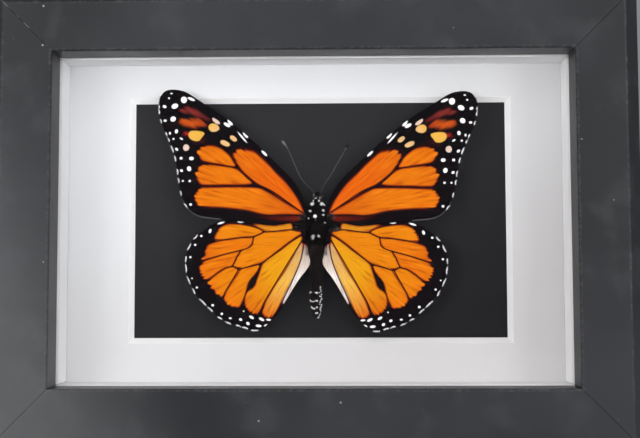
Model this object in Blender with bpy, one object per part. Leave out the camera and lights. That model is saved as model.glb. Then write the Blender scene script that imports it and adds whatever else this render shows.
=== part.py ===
"""A pinned butterfly in a small black shadow-box frame, built as its separate pieces.

Units are metres and +Z is up. The frame stands on its bottom rail and faces -Y. The origin is on
the surface it stands on, below the middle of the frame. Inside, the pieces hang from two empties:
box_origin is the middle of the frame's sight opening, on its front face, so there y is a depth
behind the front face; specimen_origin is on the butterfly's midline, at the depth of its wings.
"""
import math

import bmesh
import bpy
from mathutils import Matrix, Vector

MM = 0.001
GAP = 0.3 * MM  # play between pieces that lie against each other

# Frame moulding
SIGHT_W = 145.0 * MM
SIGHT_H = 93.2 * MM
FACE_W = 14.4 * MM  # the flat face
CHAMFER_W = 3.6 * MM  # outside the face, a chamfer runs back to the outer wall
CHAMFER_LEAN = math.radians(40)  # how steeply, measured from the face
DEPTH = 34.0 * MM
LIP = 9.0 * MM  # depth of the wall between the front face and the glass
REBATE = 3.5 * MM
EASE = 0.6 * MM  # rounding of the front edges
MITRE_PLAY = 0.1 * MM

# Layers in the rebate, front to back
GLASS_T = 2.0 * MM
LINER_T = 3.0 * MM
MAT_DEPTH = 20.4 * MM
MAT_T = 1.4 * MM
CARD_T = 4.7 * MM
BOARD_T = 2.5 * MM
WINDOW_W = 109.2 * MM
WINDOW_H = 69.2 * MM
WINDOW_X = 1.6 * MM
WINDOW_Z = 0.7 * MM

GLASS_DEPTH = LIP + GAP
LINER_DEPTH = GLASS_DEPTH + GLASS_T + GAP
CARD_DEPTH = MAT_DEPTH + MAT_T + GAP
BOARD_DEPTH = CARD_DEPTH + CARD_T + GAP
BOARD_BACK = BOARD_DEPTH + BOARD_T
REBATE_W = SIGHT_W + 2 * REBATE
REBATE_H = SIGHT_H + 2 * REBATE

# Retaining points and hanger
POINT_W = 8.0 * MM
POINT_L = 13.0 * MM
POINT_T = 0.4 * MM
POINT_BITE = 3.0 * MM  # how far a point is driven into the rail
HANGER_L = 45.0 * MM
HANGER_H = 9.0 * MM
HANGER_T = 0.8 * MM
HANGER_RISE = 1.6 * MM
HANGER_FOOT = 7.0 * MM
HANGER_TEETH = 9
HANGER_TOOTH = 2.2 * MM
HANGER_DROP = 14.0 * MM  # below the top of the sight opening
RIVET_R = 0.9 * MM
RIVET_HEAD_R = 2.2 * MM

# Specimen
SPECIMEN_X = 0.7 * MM
SPECIMEN_Z = 0.5 * MM
WING_DEPTH = 16.4 * MM
WING_T = 0.3 * MM
WING_SHIFT = 0.27 * MM  # each wing root's distance out from where its outline is drawn
FOREWING_ROOT = (4.0, 1.0)
HINDWING_ROOT = (4.7, -4.8)
FOREWING_RAISE = -0.5 * MM
HINDWING_RAISE = 0.3 * MM
WING_LEAN = math.radians(0.8)  # how far the wing tips rise towards the glass
LEFT_TURN = math.radians(1.5)  # the left pair is set a little higher than the right
PIN_R = 0.22 * MM
PIN_HEAD_R = 0.55 * MM
PIN_HEAD_AT = Vector((-0.4, -4.1, 0.2)) * MM
PIN_TIP_AT = Vector((0.5, 7.6, -4.0)) * MM

# Wing outlines in millimetres: outwards from the midline, and towards the head
FOREWING = [
    (3.6, 1.0), (3.6, 3.6), (5.9, 10.1), (11.8, 16.1), (17.6, 21.5), (23.5, 26.5), (30.9, 31.7),
    (37.1, 35.5), (40.9, 36.9), (43.8, 36.8), (45.9, 34.9), (46.3, 31.8), (45.0, 26.2),
    (42.6, 20.9), (41.2, 17.1), (39.9, 10.4), (38.5, 5.1), (35.6, 1.2), (30.3, -0.3),
    (20.6, -1.2), (13.0, -2.0), (7.6, -1.2),
]
HINDWING = [
    (3.8, -6.0), (4.6, -3.2), (7.5, -1.5), (19.0, -1.0), (24.0, -0.6), (29.8, -2.0),
    (34.0, -5.1), (36.9, -9.5), (37.3, -14.3), (35.8, -19.3), (32.9, -23.8), (27.6, -28.7),
    (22.1, -31.0), (16.8, -32.4), (12.3, -29.3), (8.5, -24.2), (6.0, -19.8), (3.6, -16.0),
    (2.5, -12.6), (2.9, -9.0),
]
WING_STEPS = 3  # straight edges between two outline points

# Body, in millimetres around specimen_origin: middle (x, y, z) and half sizes
HEAD = ((0.3, 0.9, 6.7), (1.5, 1.4, 1.4))
THORAX = ((0.1, 1.1, -1.3), (2.9, 2.6, 6.1))
ABDOMEN_TOP = (0.0, 1.3, -7.8)
ABDOMEN_LEAN = math.radians(1.5)
ABDOMEN = [(0.5, 0.0), (1.5, -0.5), (1.9, -2.5), (1.9, -6.0), (2.1, -11.0), (2.1, -14.5),
           (1.8, -17.5), (1.2, -19.9), (0.5, -21.1)]  # radius, height
ANTENNA = [(0.9, 0.4, 8.2), (2.0, 0.1, 10.0), (3.6, -0.3, 12.6), (5.6, -0.7, 16.2),
           (7.8, -1.0, 19.8), (9.0, -1.1, 21.5)]
ANTENNA_R = 0.16
CLUB_R = 0.34
LEG_R = 0.2
LEG_MID = [(1.2, 4.3, 0.6), (3.1, 4.5, 2.0), (3.5, 4.8, -2.2), (2.6, 5.1, -5.6)]
LEG_HIND = [(1.0, 4.3, -3.2), (2.4, 4.5, -6.4), (3.0, 4.7, -10.0), (2.3, 5.0, -14.5)]


def clear_scene():
    for obj in list(bpy.data.objects):
        bpy.data.objects.remove(obj)


def material(name, colour, roughness, metallic=0.0, alpha=1.0):
    made = bpy.data.materials.new(name)
    made.use_nodes = True
    shader = made.node_tree.nodes["Principled BSDF"]
    shader.inputs["Base Color"].default_value = (*colour, 1.0)
    shader.inputs["Roughness"].default_value = roughness
    shader.inputs["Metallic"].default_value = metallic
    shader.inputs["Alpha"].default_value = alpha
    return made


def add_empty(name, location, parent=None):
    empty = bpy.data.objects.new(name, None)
    empty.location = location
    empty.parent = parent
    bpy.context.collection.objects.link(empty)
    return empty


def add_object(name, data, finish, parent, location=(0, 0, 0), rotation=(0, 0, 0)):
    obj = bpy.data.objects.new(name, data)
    obj.location = location
    obj.rotation_euler = rotation
    obj.parent = parent
    data.materials.append(finish)
    bpy.context.collection.objects.link(obj)
    return obj


def mesh_from(name, points, faces, smooth=False):
    mesh = bpy.data.meshes.new(name)
    mesh.from_pydata(points, [], faces)
    bm = bmesh.new()
    bm.from_mesh(mesh)
    bmesh.ops.recalc_face_normals(bm, faces=bm.faces)
    bm.to_mesh(mesh)
    bm.free()
    if smooth:
        mesh.shade_smooth()
    return mesh


def extruded(name, outline, reach):
    """A closed body: the outline, a ring of 3D points, and its copy moved by reach."""
    count = len(outline)
    near = [Vector(point) for point in outline]
    far = [point + Vector(reach) for point in near]
    sides = [(i, (i + 1) % count, count + (i + 1) % count, count + i) for i in range(count)]
    caps = [tuple(range(count)), tuple(range(2 * count - 1, count - 1, -1))]
    return mesh_from(name, near + far, sides + caps)


def block(name, low, high):
    """A box between two corners."""
    outline = [(low[0], low[1], low[2]), (high[0], low[1], low[2]),
               (high[0], low[1], high[2]), (low[0], low[1], high[2])]
    return extruded(name, outline, (0, high[1] - low[1], 0))


def cylinder_mesh(name, radius, start, end, sides=16):
    """A round bar between two points."""
    bm = bmesh.new()
    run = Vector(end) - Vector(start)
    turn = run.to_track_quat("Z", "Y").to_matrix().to_4x4()
    place = Matrix.Translation((Vector(start) + Vector(end)) / 2) @ turn
    bmesh.ops.create_cone(bm, cap_ends=True, segments=sides, radius1=radius, radius2=radius,
                          depth=run.length, matrix=place)
    mesh = bpy.data.meshes.new(name)
    bm.to_mesh(mesh)
    bm.free()
    return mesh


def cut(obj, mesh, parent):
    """Takes the cutter's shape out of obj. The cutter is placed in its parent's frame."""
    cutter = bpy.data.objects.new(mesh.name, mesh)
    cutter.parent = parent
    cutter.hide_render = True
    cutter.display_type = "WIRE"
    bpy.context.collection.objects.link(cutter)
    modifier = obj.modifiers.new("cut " + mesh.name, "BOOLEAN")
    modifier.operation = "DIFFERENCE"
    modifier.solver = "EXACT"
    modifier.object = cutter


# Frame

def moulding_profile():
    """The moulding's section as (distance out from the sight edge, depth), front edges rounded."""
    steps = 4
    inner = [(EASE - EASE * math.cos(a), EASE - EASE * math.sin(a))
             for a in (math.pi / 2 * i / steps for i in range(steps + 1))]
    outer = [(FACE_W - EASE + EASE * math.sin(a), EASE - EASE * math.cos(a))
             for a in (CHAMFER_LEAN * i / steps for i in range(steps + 1))]
    reach = FACE_W + CHAMFER_W
    shoulder = outer[-1][1] + (reach - outer[-1][0]) * math.tan(CHAMFER_LEAN)
    return inner + outer + [(reach, shoulder), (reach, DEPTH), (REBATE, DEPTH), (REBATE, LIP),
                            (0, LIP)]


def mitred_length(name, along, out, half_run, half_stack):
    """One side of the frame: the profile swept along its run, with a mitre at each end."""
    profile = moulding_profile()
    count = len(profile)
    points = []
    for end in (-1, 1):
        for reach, depth in profile:
            run = end * (half_run + reach - MITRE_PLAY)
            points.append(Vector(along) * run + Vector(out) * (half_stack + reach)
                          + Vector((0, depth, 0)))
    sides = [(i, (i + 1) % count, count + (i + 1) % count, count + i) for i in range(count)]
    caps = [tuple(range(count)), tuple(range(2 * count - 1, count - 1, -1))]
    return mesh_from(name, points, sides + caps)


def build_frame(box, finish):
    across, up = (1, 0, 0), (0, 0, 1)
    sides = {
        "rail_top": (across, up, SIGHT_W / 2, SIGHT_H / 2),
        "rail_bottom": (across, (0, 0, -1), SIGHT_W / 2, SIGHT_H / 2),
        "stile_left": (up, (-1, 0, 0), SIGHT_H / 2, SIGHT_W / 2),
        "stile_right": (up, (1, 0, 0), SIGHT_H / 2, SIGHT_W / 2),
    }
    return {name: add_object(name, mitred_length(name, *shape), finish, box)
            for name, shape in sides.items()}


# Layers in the rebate

def layer(name, thickness):
    """A sheet that fills the rebate, with play all round."""
    half_w, half_h = REBATE_W / 2 - GAP, REBATE_H / 2 - GAP
    return block(name, (-half_w, 0, -half_h), (half_w, thickness, half_h))


def build_liner(box, finish):
    """White strips between glass and mat, their inner faces in line with the sight edge."""
    length = MAT_DEPTH - GAP - LINER_DEPTH
    half_w, half_h = SIGHT_W / 2, SIGHT_H / 2
    for name, sign in (("liner_bottom", -1), ("liner_top", 1)):
        inner, outer = sorted((sign * half_h, sign * (half_h + LINER_T)))
        mesh = block(name, (-half_w - LINER_T, 0, inner), (half_w + LINER_T, length, outer))
        add_object(name, mesh, finish, box, (0, LINER_DEPTH, 0))
    for name, sign in (("liner_left", -1), ("liner_right", 1)):
        inner, outer = sorted((sign * half_w, sign * (half_w + LINER_T)))
        mesh = block(name, (inner, 0, GAP - half_h), (outer, length, half_h - GAP))
        add_object(name, mesh, finish, box, (0, LINER_DEPTH, 0))


def build_window_mat(box, finish):
    """White card with a window whose edge is cut at 45 degrees, widest at the front."""
    half_w, half_h = REBATE_W / 2 - GAP, REBATE_H / 2 - GAP
    points = []
    for depth, bevel in ((0.0, MAT_T), (MAT_T, 0.0)):
        for x, z in ((-1, -1), (1, -1), (1, 1), (-1, 1)):
            points.append((x * half_w, depth, z * half_h))
        for x, z in ((-1, -1), (1, -1), (1, 1), (-1, 1)):
            points.append((WINDOW_X + x * (WINDOW_W / 2 + bevel), depth,
                           WINDOW_Z + z * (WINDOW_H / 2 + bevel)))
    faces = []
    for i in range(4):
        j = (i + 1) % 4
        faces += [(i, j, 4 + j, 4 + i), (8 + i, 8 + j, 12 + j, 12 + i)]
        faces += [(i, j, 8 + j, 8 + i), (4 + i, 4 + j, 12 + j, 12 + i)]
    add_object("window_mat", mesh_from("window_mat", points, faces), finish, box,
               (0, MAT_DEPTH, 0))


# Back

def build_retaining_points(box, frame, finish):
    """Bent steel points, driven into slots in the rails, that hold the layers from behind."""
    half_w, half_h = REBATE_W / 2, REBATE_H / 2
    places = [(sx * half_w / 2, sz * half_h, 0, sz, name)
              for sz, name in ((1, "rail_top"), (-1, "rail_bottom")) for sx in (-1, 1)]
    places += [(sx * half_w, 0, sx, 0, name)
               for sx, name in ((-1, "stile_left"), (1, "stile_right"))]
    for number, (x, z, out_x, out_z, side) in enumerate(places, 1):
        name = f"retaining_point_{number}"
        turn = (0, -math.atan2(out_z, out_x), 0)
        half = POINT_W / 2
        outline = [(POINT_BITE, 0, -half * 0.7), (POINT_BITE, 0, half * 0.7), (0, 0, half),
                   (POINT_BITE - POINT_L, 0, half * 0.6), (POINT_BITE - POINT_L, 0, -half * 0.6),
                   (0, 0, -half)]
        place = (x, BOARD_BACK + GAP, z)
        add_object(name, extruded(name, outline, (0, POINT_T, 0)), finish, box, place, turn)
        slot = add_empty(f"slot_{number}", place, box)
        slot.rotation_euler = turn
        mesh = block(f"slot_{number}", (-GAP, -GAP, -half - GAP),
                     (POINT_BITE + GAP, POINT_T + GAP, half + GAP))
        cut(frame[side], mesh, slot)


def build_hanger(box, board, finish):
    """A strip bent up off the board, its lower edge cut in teeth, on two riveted feet."""
    half, foot, slope = HANGER_L / 2, HANGER_FOOT, 2 * HANGER_RISE
    line = [(-half, 0), (-half + foot, 0), (-half + foot + slope, HANGER_RISE),
            (half - foot - slope, HANGER_RISE), (half - foot, 0), (half, 0)]
    outline = [(x, y, 0) for x, y in line]
    outline += [(x, y + HANGER_T, 0) for x, y in reversed(line)]
    top = (0, BOARD_BACK + GAP, SIGHT_H / 2 - HANGER_DROP)
    hanger = add_object("sawtooth_hanger", extruded("sawtooth_hanger", outline, (0, 0, -HANGER_H)),
                        finish, box, top)
    pitch = (HANGER_L - 2 * (foot + slope)) / HANGER_TEETH
    for i in range(HANGER_TEETH):
        x = (i - (HANGER_TEETH - 1) / 2) * pitch
        notch = [(x - pitch * 0.42, 0, -HANGER_H - MM), (x, 0, -HANGER_H + HANGER_TOOTH),
                 (x + pitch * 0.42, 0, -HANGER_H - MM)]
        cut(hanger, extruded(f"notch_{i}", notch, (0, HANGER_RISE + 2 * MM, 0)), hanger)
    for name, sign in (("left", -1), ("right", 1)):
        x, z = sign * (half - foot / 2), -HANGER_H / 2
        start, end = (x, -BOARD_T - MM, z), (x, HANGER_T + MM, z)
        for target in (hanger, board):
            hole = cylinder_mesh(f"hole_{name}_{target.name}", RIVET_R + GAP, start, end)
            cut(target, hole, hanger)
        rivet = bmesh.new()
        shank = -(BOARD_T + GAP) + GAP
        ring = [(0, shank), (RIVET_R, shank), (RIVET_R, HANGER_T + GAP),
                (RIVET_HEAD_R, HANGER_T + GAP), (RIVET_HEAD_R * 0.8, HANGER_T + GAP + 0.6 * MM),
                (0, HANGER_T + GAP + 0.8 * MM)]
        turned(rivet, ring, 16)
        mesh = bpy.data.meshes.new("rivet_" + name)
        rivet.to_mesh(mesh)
        rivet.free()
        add_object("hanger_rivet_" + name, mesh, finish, box, Vector(top) + Vector((x, 0, z)),
                   (-math.pi / 2, 0, 0))


def turned(bm, profile, sides):
    """Spins (radius, height) points round Z into a closed body. The ends lie on the axis."""
    line = [bm.verts.new((radius, 0, height)) for radius, height in profile]
    edges = [bm.edges.new(pair) for pair in zip(line, line[1:])]
    bmesh.ops.spin(bm, geom=line + edges, cent=(0, 0, 0), axis=(0, 0, 1), angle=2 * math.pi,
                   steps=sides, use_merge=True)
    bmesh.ops.remove_doubles(bm, verts=bm.verts, dist=0.001 * MM)
    bmesh.ops.recalc_face_normals(bm, faces=bm.faces)


# Specimen

def smooth_loop(points, steps):
    """Points on a closed curve through the given ones (Catmull-Rom)."""
    count = len(points)
    made = []
    for i in range(count):
        a, b, c, d = (Vector(points[(i + k - 1) % count]) for k in range(4))
        for step in range(steps):
            t = step / steps
            made.append(0.5 * (2 * b + (c - a) * t + (2 * a - 5 * b + 4 * c - d) * t * t
                               + (3 * b - a - 3 * c + d) * t ** 3))
    return made


def build_wing(name, outline, root, raised, side, specimen, finish):
    """A flat plate in the shape of the wing. side is 1 for the right wing and -1 for the left."""
    loop = [((x - root[0]) * side * MM, 0, (z - root[1]) * MM)
            for x, z in smooth_loop(outline, WING_STEPS)]
    place = (side * (root[0] * MM + WING_SHIFT), raised, root[1] * MM)
    turn = (0, LEFT_TURN if side < 0 else 0, -side * WING_LEAN)
    add_object(name, extruded(name, loop, (0, WING_T, 0)), finish, specimen, place, turn)


def build_ellipsoid(name, middle, half, specimen, finish):
    bm = bmesh.new()
    bmesh.ops.create_uvsphere(bm, u_segments=16, v_segments=10, radius=1.0)
    bmesh.ops.scale(bm, vec=Vector(half) * MM, verts=bm.verts)
    mesh = bpy.data.meshes.new(name)
    bm.to_mesh(mesh)
    bm.free()
    mesh.shade_smooth()
    return add_object(name, mesh, finish, specimen, Vector(middle) * MM)


def build_abdomen(specimen, finish):
    bm = bmesh.new()
    ends = [(0.0, ABDOMEN[0][1])], [(0.0, ABDOMEN[-1][1])]
    profile = [(radius * MM, height * MM) for radius, height in ends[0] + ABDOMEN + ends[1]]
    turned(bm, profile, 14)
    mesh = bpy.data.meshes.new("abdomen")
    bm.to_mesh(mesh)
    bm.free()
    mesh.shade_smooth()
    add_object("abdomen", mesh, finish, specimen, Vector(ABDOMEN_TOP) * MM,
               (ABDOMEN_LEAN, 0, 0))


def build_tube(name, points, radii, side, specimen, finish):
    """A thin round limb through the points, mirrored for the left side."""
    curve = bpy.data.curves.new(name, "CURVE")
    curve.dimensions = "3D"
    curve.bevel_depth = MM
    curve.bevel_resolution = 1
    curve.use_fill_caps = True
    spline = curve.splines.new("POLY")
    spline.points.add(len(points) - 1)
    for spot, (x, y, z), radius in zip(spline.points, points, radii):
        spot.co = (side * x * MM, y * MM, z * MM, 1.0)
        spot.radius = radius
    add_object(name, curve, finish, specimen)


def build_pin(box, thorax, card, specimen, finish):
    """A pin with a round head, standing through the thorax and into the card."""
    run = PIN_TIP_AT - PIN_HEAD_AT
    length = run.length
    bm = bmesh.new()
    ball = [(PIN_HEAD_R * math.sin(a), -PIN_HEAD_R * math.cos(a))
            for a in (math.pi * i / 8 for i in range(8))]
    ball[0] = (0.0, -PIN_HEAD_R)
    turned(bm, ball + [(PIN_R, PIN_HEAD_R * 0.92), (PIN_R, length - 5 * PIN_R), (0, length)], 12)
    mesh = bpy.data.meshes.new("insect_pin")
    bm.to_mesh(mesh)
    bm.free()
    turn = run.to_track_quat("Z", "Y").to_euler()
    pin = add_object("insect_pin", mesh, finish, specimen, PIN_HEAD_AT, turn)
    for target in (thorax, card):
        bore = cylinder_mesh(f"bore_{target.name}", PIN_R + GAP, (0, 0, 0),
                             (0, 0, length + 2 * GAP), 12)
        cut(target, bore, pin)


def build_specimen(box, card):
    specimen = add_empty("specimen_origin", (SPECIMEN_X, WING_DEPTH, SPECIMEN_Z), box)
    upper = material("forewing_scales", (0.80, 0.20, 0.01), 0.7)
    lower = material("hindwing_scales", (0.85, 0.32, 0.02), 0.7)
    fur = material("black_fur", (0.012, 0.009, 0.012), 0.9)
    horn = material("dark_horn", (0.03, 0.025, 0.025), 0.45)
    steel = material("white_pin", (0.80, 0.80, 0.78), 0.3)
    build_ellipsoid("head", *HEAD, specimen, fur)
    thorax = build_ellipsoid("thorax", *THORAX, specimen, fur)
    build_abdomen(specimen, fur)
    for word, side in (("left", -1), ("right", 1)):
        build_wing("forewing_" + word, FOREWING, FOREWING_ROOT, FOREWING_RAISE, side, specimen,
                   upper)
        build_wing("hindwing_" + word, HINDWING, HINDWING_ROOT, HINDWING_RAISE, side, specimen,
                   lower)
        radii = [ANTENNA_R] * (len(ANTENNA) - 2) + [CLUB_R, CLUB_R * 0.8]
        build_tube("antenna_" + word, ANTENNA, radii, side, specimen, horn)
        build_tube("leg_mid_" + word, LEG_MID, [LEG_R] * len(LEG_MID), side, specimen, horn)
        build_tube("leg_hind_" + word, LEG_HIND, [LEG_R] * len(LEG_HIND), side, specimen, horn)
    build_pin(box, thorax, card, specimen, steel)


def main():
    clear_scene()
    box = add_empty("box_origin", (0, -DEPTH / 2, SIGHT_H / 2 + FACE_W + CHAMFER_W))
    frame = build_frame(box, material("black_foil", (0.035, 0.036, 0.04), 0.45))
    add_object("glass_pane", layer("glass_pane", GLASS_T),
               material("clear_glass", (0.9, 0.95, 0.93), 0.05, alpha=0.25), box,
               (0, GLASS_DEPTH, 0))
    white = material("white_card", (0.80, 0.80, 0.80), 0.85)
    build_liner(box, white)
    build_window_mat(box, white)
    card = add_object("black_card", layer("black_card", CARD_T),
                      material("black_paper", (0.03, 0.03, 0.033), 0.9), box,
                      (0, CARD_DEPTH, 0))
    board = add_object("back_board", layer("back_board", BOARD_T),
                       material("hardboard", (0.18, 0.11, 0.06), 0.8), box,
                       (0, BOARD_DEPTH, 0))
    zinc = material("zinc_steel", (0.55, 0.55, 0.57), 0.4, metallic=1.0)
    build_retaining_points(box, frame, zinc)
    build_hanger(box, board, zinc)
    build_specimen(box, card)


main()
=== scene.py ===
# %% [markdown]
# # A pinned butterfly in a black shadow-box frame
#
# The frame comes in as solids that are already in their real place and size. This lesson dresses
# them: it swaps the plain rails for rounded, foil-wrapped ones, cuts the mat's bevel, and builds
# the insect from thin meshes, tubes and hair. Lengths are metres; MM turns millimetres into them.

# %% Load the frame
import math

import bmesh
import bpy
import numpy as np
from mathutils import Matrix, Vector
from mathutils.geometry import delaunay_2d_cdt


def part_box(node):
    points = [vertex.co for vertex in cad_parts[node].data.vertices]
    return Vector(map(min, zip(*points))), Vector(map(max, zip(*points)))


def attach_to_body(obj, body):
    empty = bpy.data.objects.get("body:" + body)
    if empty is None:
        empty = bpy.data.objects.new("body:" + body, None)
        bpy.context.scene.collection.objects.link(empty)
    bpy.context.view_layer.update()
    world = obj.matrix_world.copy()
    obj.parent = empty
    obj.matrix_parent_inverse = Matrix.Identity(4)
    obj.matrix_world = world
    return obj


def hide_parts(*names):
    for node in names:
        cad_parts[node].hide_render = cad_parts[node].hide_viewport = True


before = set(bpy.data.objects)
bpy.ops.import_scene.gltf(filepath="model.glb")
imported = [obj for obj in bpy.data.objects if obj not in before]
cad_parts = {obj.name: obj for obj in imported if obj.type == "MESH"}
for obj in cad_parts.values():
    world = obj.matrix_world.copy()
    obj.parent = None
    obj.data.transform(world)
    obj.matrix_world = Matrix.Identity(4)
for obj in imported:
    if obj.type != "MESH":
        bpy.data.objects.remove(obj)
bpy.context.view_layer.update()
MM = 0.001
print("pieces in the frame:", len(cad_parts))

# %% [markdown]
# ## Where things are
#
# Every place is read from the boxes of the solids. The sight opening is what the four sides leave
# free. The insect has its own centre: the midline of its body, level with its wing roots, which
# sits a known way from the middle of the thorax.

# %% Measure the frame
SIGHT_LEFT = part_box("stile_left")[1].x
SIGHT_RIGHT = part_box("stile_right")[0].x
SIGHT_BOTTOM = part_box("rail_bottom")[1].z
SIGHT_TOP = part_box("rail_top")[0].z
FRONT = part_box("rail_top")[0].y
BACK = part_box("rail_top")[1].y
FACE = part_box("rail_top")[1].z - SIGHT_TOP
PLAY = 0.3 * MM
CENTRE = Vector(((SIGHT_LEFT + SIGHT_RIGHT) / 2, FRONT, (SIGHT_BOTTOM + SIGHT_TOP) / 2))
HALF_W = (SIGHT_RIGHT - SIGHT_LEFT) / 2
HALF_H = (SIGHT_TOP - SIGHT_BOTTOM) / 2
THORAX_LOW, THORAX_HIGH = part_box("thorax")
THORAX_OFFSET = Vector((0.1, 1.1, -1.3)) * MM
ORIGIN = (THORAX_LOW + THORAX_HIGH) / 2 - THORAX_OFFSET
print("sight opening", round(HALF_W * 2, 4), "by", round(HALF_H * 2, 4), "insect at", ORIGIN)


# %% [markdown]
# ## Shader sums as Python
#
# A material is a small program. Wire stands for one output of a node, and adding or multiplying
# wires adds Math nodes. Finish is a material with one Principled shader; its node method makes any
# other node, with its settings first and then its sockets.

# %% A wire that can be used in sums
class Wire:
    def __init__(self, owner, socket):
        self.owner = owner
        self.socket = socket

    def math(self, operation, *values):
        return self.owner.node("Math", {"operation": operation}, dict(enumerate(values)))

    def __add__(self, other):
        return self.math("ADD", self, other)

    __radd__ = __add__

    def __sub__(self, other):
        return self.math("SUBTRACT", self, other)

    def __rsub__(self, other):
        return self.math("SUBTRACT", other, self)

    def __mul__(self, other):
        return self.math("MULTIPLY", self, other)

    __rmul__ = __mul__

    def __truediv__(self, other):
        return self.math("DIVIDE", self, other)

    def most(self, other):
        return self.math("MAXIMUM", self, other)

    def step(self, low, high):
        """0 below low, 1 above high, and smooth between."""
        sockets = {0: self, 1: low, 2: high, 3: 0.0, 4: 1.0}
        return self.owner.node("MapRange", {"interpolation_type": "SMOOTHSTEP"}, sockets)


# %% Any node tree
class Tree:
    """Makes nodes: kind and settings first, then the values or wires of its sockets."""

    def plug(self, value, socket):
        if isinstance(value, Wire):
            self.tree.links.new(value.socket, socket)
        elif socket.type == "RGBA":
            socket.default_value = (*value[:3], 1.0)
        else:
            socket.default_value = value

    def node(self, kind, settings=None, sockets=None, output=0):
        whole = kind if kind.startswith(("Geometry", "Function")) else "ShaderNode" + kind
        made = self.tree.nodes.new(whole)
        for name, value in (settings or {}).items():
            setattr(made, name, value)
        for name, value in (sockets or {}).items():
            self.plug(value, made.inputs[name])
        return Wire(self, made.outputs[output])


# %% A material
class Finish(Tree):
    def __init__(self, name, colour, roughness, **values):
        self.material = bpy.data.materials.new(name)
        self.material.use_nodes = True
        self.tree = self.material.node_tree
        self.shader = self.tree.nodes["Principled BSDF"]
        self.set(Base_Color=colour, Roughness=roughness, **values)

    def set(self, **values):
        for name, value in values.items():
            self.plug(value, self.shader.inputs[name.replace("_", " ")])
        return self

    def place(self, stretch=(1, 1, 1)):
        """Object coordinates, stretched along the axes."""
        where = self.node("TexCoord", output="Object")
        return self.node("Mapping", None, {"Vector": where, "Scale": stretch})

    def axis(self, number):
        """One Object coordinate: 0, 1 or 2 for x, y or z."""
        return self.node("SeparateXYZ", None, {0: self.place()}, output=number)

    def noise(self, scale, detail=3.0, stretch=(1, 1, 1), vector=None):
        sockets = {"Vector": vector or self.place(stretch), "Scale": scale, "Detail": detail}
        return self.node("TexNoise", None, sockets)

    def cells(self, scale, output="Distance", vector=None):
        sockets = {"Vector": vector or self.place(), "Scale": scale}
        return self.node("TexVoronoi", None, sockets, output=output)

    def known(self, name, output="Fac"):
        """An attribute that the mesh carries."""
        return self.node("Attribute", {"attribute_name": name}, None, output)

    def mix(self, share, low, high):
        """A colour between two."""
        return self.node("Mix", {"data_type": "RGBA"}, {0: share, 6: low, 7: high}, output=2)

    def bump(self, height, distance, strength=1.0):
        sockets = {"Height": height, "Distance": distance, "Strength": strength}
        self.set(Normal=self.node("Bump", None, sockets))
        return self

    def specks(self, scale, size, rarity):
        """Round dust specks: 1 inside one, 0 elsewhere. rarity is the share of cells left bare."""
        near = 1 - self.cells(scale).step(size * 0.6, size)
        colour = self.cells(scale, output="Color")
        chance = self.node("SeparateColor", None, {0: colour}, output=0)
        return near * chance.step(rarity, rarity + 0.01)


print("materials are Finish objects")

# %% [markdown]
# ## Camera, floor and light
#
# The camera looks at the frame almost square on, from two fingers below its middle, so it tilts up
# a little. Soft panels stand round the camera, outside the cone that the glass would mirror back at
# it. The low front panel and the floor are in that cone, so the glass is told not to mirror them,
# and the pane stays clear. All panels are hidden from the camera, for views from behind.

# %% Camera
def new_object(name, data):
    """An object in the scene, at the origin until it is moved."""
    made = bpy.data.objects.new(name, data)
    bpy.context.scene.collection.objects.link(made)
    return made


CAMERA_FROM_CENTRE = Vector((7.7, -282.5, -19.5)) * MM
CAMERA_TILT = math.radians(93.84)
CAMERA_ROLL = math.radians(0.15)
CAMERA_PAN = math.radians(1.16)
CAMERA_LENS = 58.2
SENSOR_WIDTH = 36.0
camera = new_object("camera", bpy.data.cameras.new("camera"))
camera.location = CENTRE + CAMERA_FROM_CENTRE
camera.rotation_euler = (CAMERA_TILT, CAMERA_ROLL, CAMERA_PAN)
camera.data.lens = CAMERA_LENS
camera.data.sensor_width = SENSOR_WIDTH
camera.data.clip_start = 10 * MM
bpy.context.scene.camera = camera
bpy.context.scene.view_settings.view_transform = "Standard"
print("camera at", camera.location)


# %% Light
PANEL_COLOUR = (1.0, 0.995, 1.0)
SKY_COLOUR = (0.30, 0.305, 0.315, 1.0)
SKY_POWER = 0.8


def panel(name, place, size, power, mirrored=True, spread=180):
    """A soft panel that faces the middle of the frame. Sizes are in metres, power in watts."""
    light = new_object(name, bpy.data.lights.new(name, "AREA"))
    light.data.shape = "RECTANGLE"
    light.data.size, light.data.size_y = size
    light.data.energy = power
    light.data.spread = math.radians(spread)
    light.data.color = PANEL_COLOUR
    light.location = place
    light.rotation_euler = (CENTRE - Vector(place)).to_track_quat("-Z", "Y").to_euler()
    light.visible_camera = False
    light.visible_glossy = light.visible_transmission = mirrored


panel("panel_front", (-0.03, -0.52, 0.04), (0.60, 0.06), 0.60, mirrored=False, spread=100)
panel("panel_above", (-0.05, -0.62, 0.44), (0.8, 0.30), 0.98)
panel("panel_left", (-0.48, -0.55, 0.08), (0.30, 0.45), 1.4)
panel("panel_right", (0.46, -0.55, 0.10), (0.30, 0.45), 1.2)
panel("panel_behind", (0.25, 0.70, 0.55), (0.6, 0.5), 2.5)
world = bpy.data.worlds.new("studio")
world.use_nodes = True
sky = world.node_tree.nodes["Background"]
sky.inputs["Color"].default_value = SKY_COLOUR
sky.inputs["Strength"].default_value = SKY_POWER
bpy.context.scene.world = world


# %% Meshes from plain lists
def mesh_piece(name, points, faces, materials, slots=None, smooth=True):
    """A new object at the origin, its normals facing out. slots gives each face's material."""
    mesh = bpy.data.meshes.new(name)
    mesh.from_pydata([tuple(p) for p in points], [], faces)
    for finish in materials:
        mesh.materials.append(finish.material)
    if slots is not None:
        mesh.polygons.foreach_set("material_index", slots)
    bm = bmesh.new()
    bm.from_mesh(mesh)
    bmesh.ops.recalc_face_normals(bm, faces=bm.faces)
    bm.to_mesh(mesh)
    bm.free()
    if smooth:
        mesh.shade_smooth()
    return new_object(name, mesh)


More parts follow.
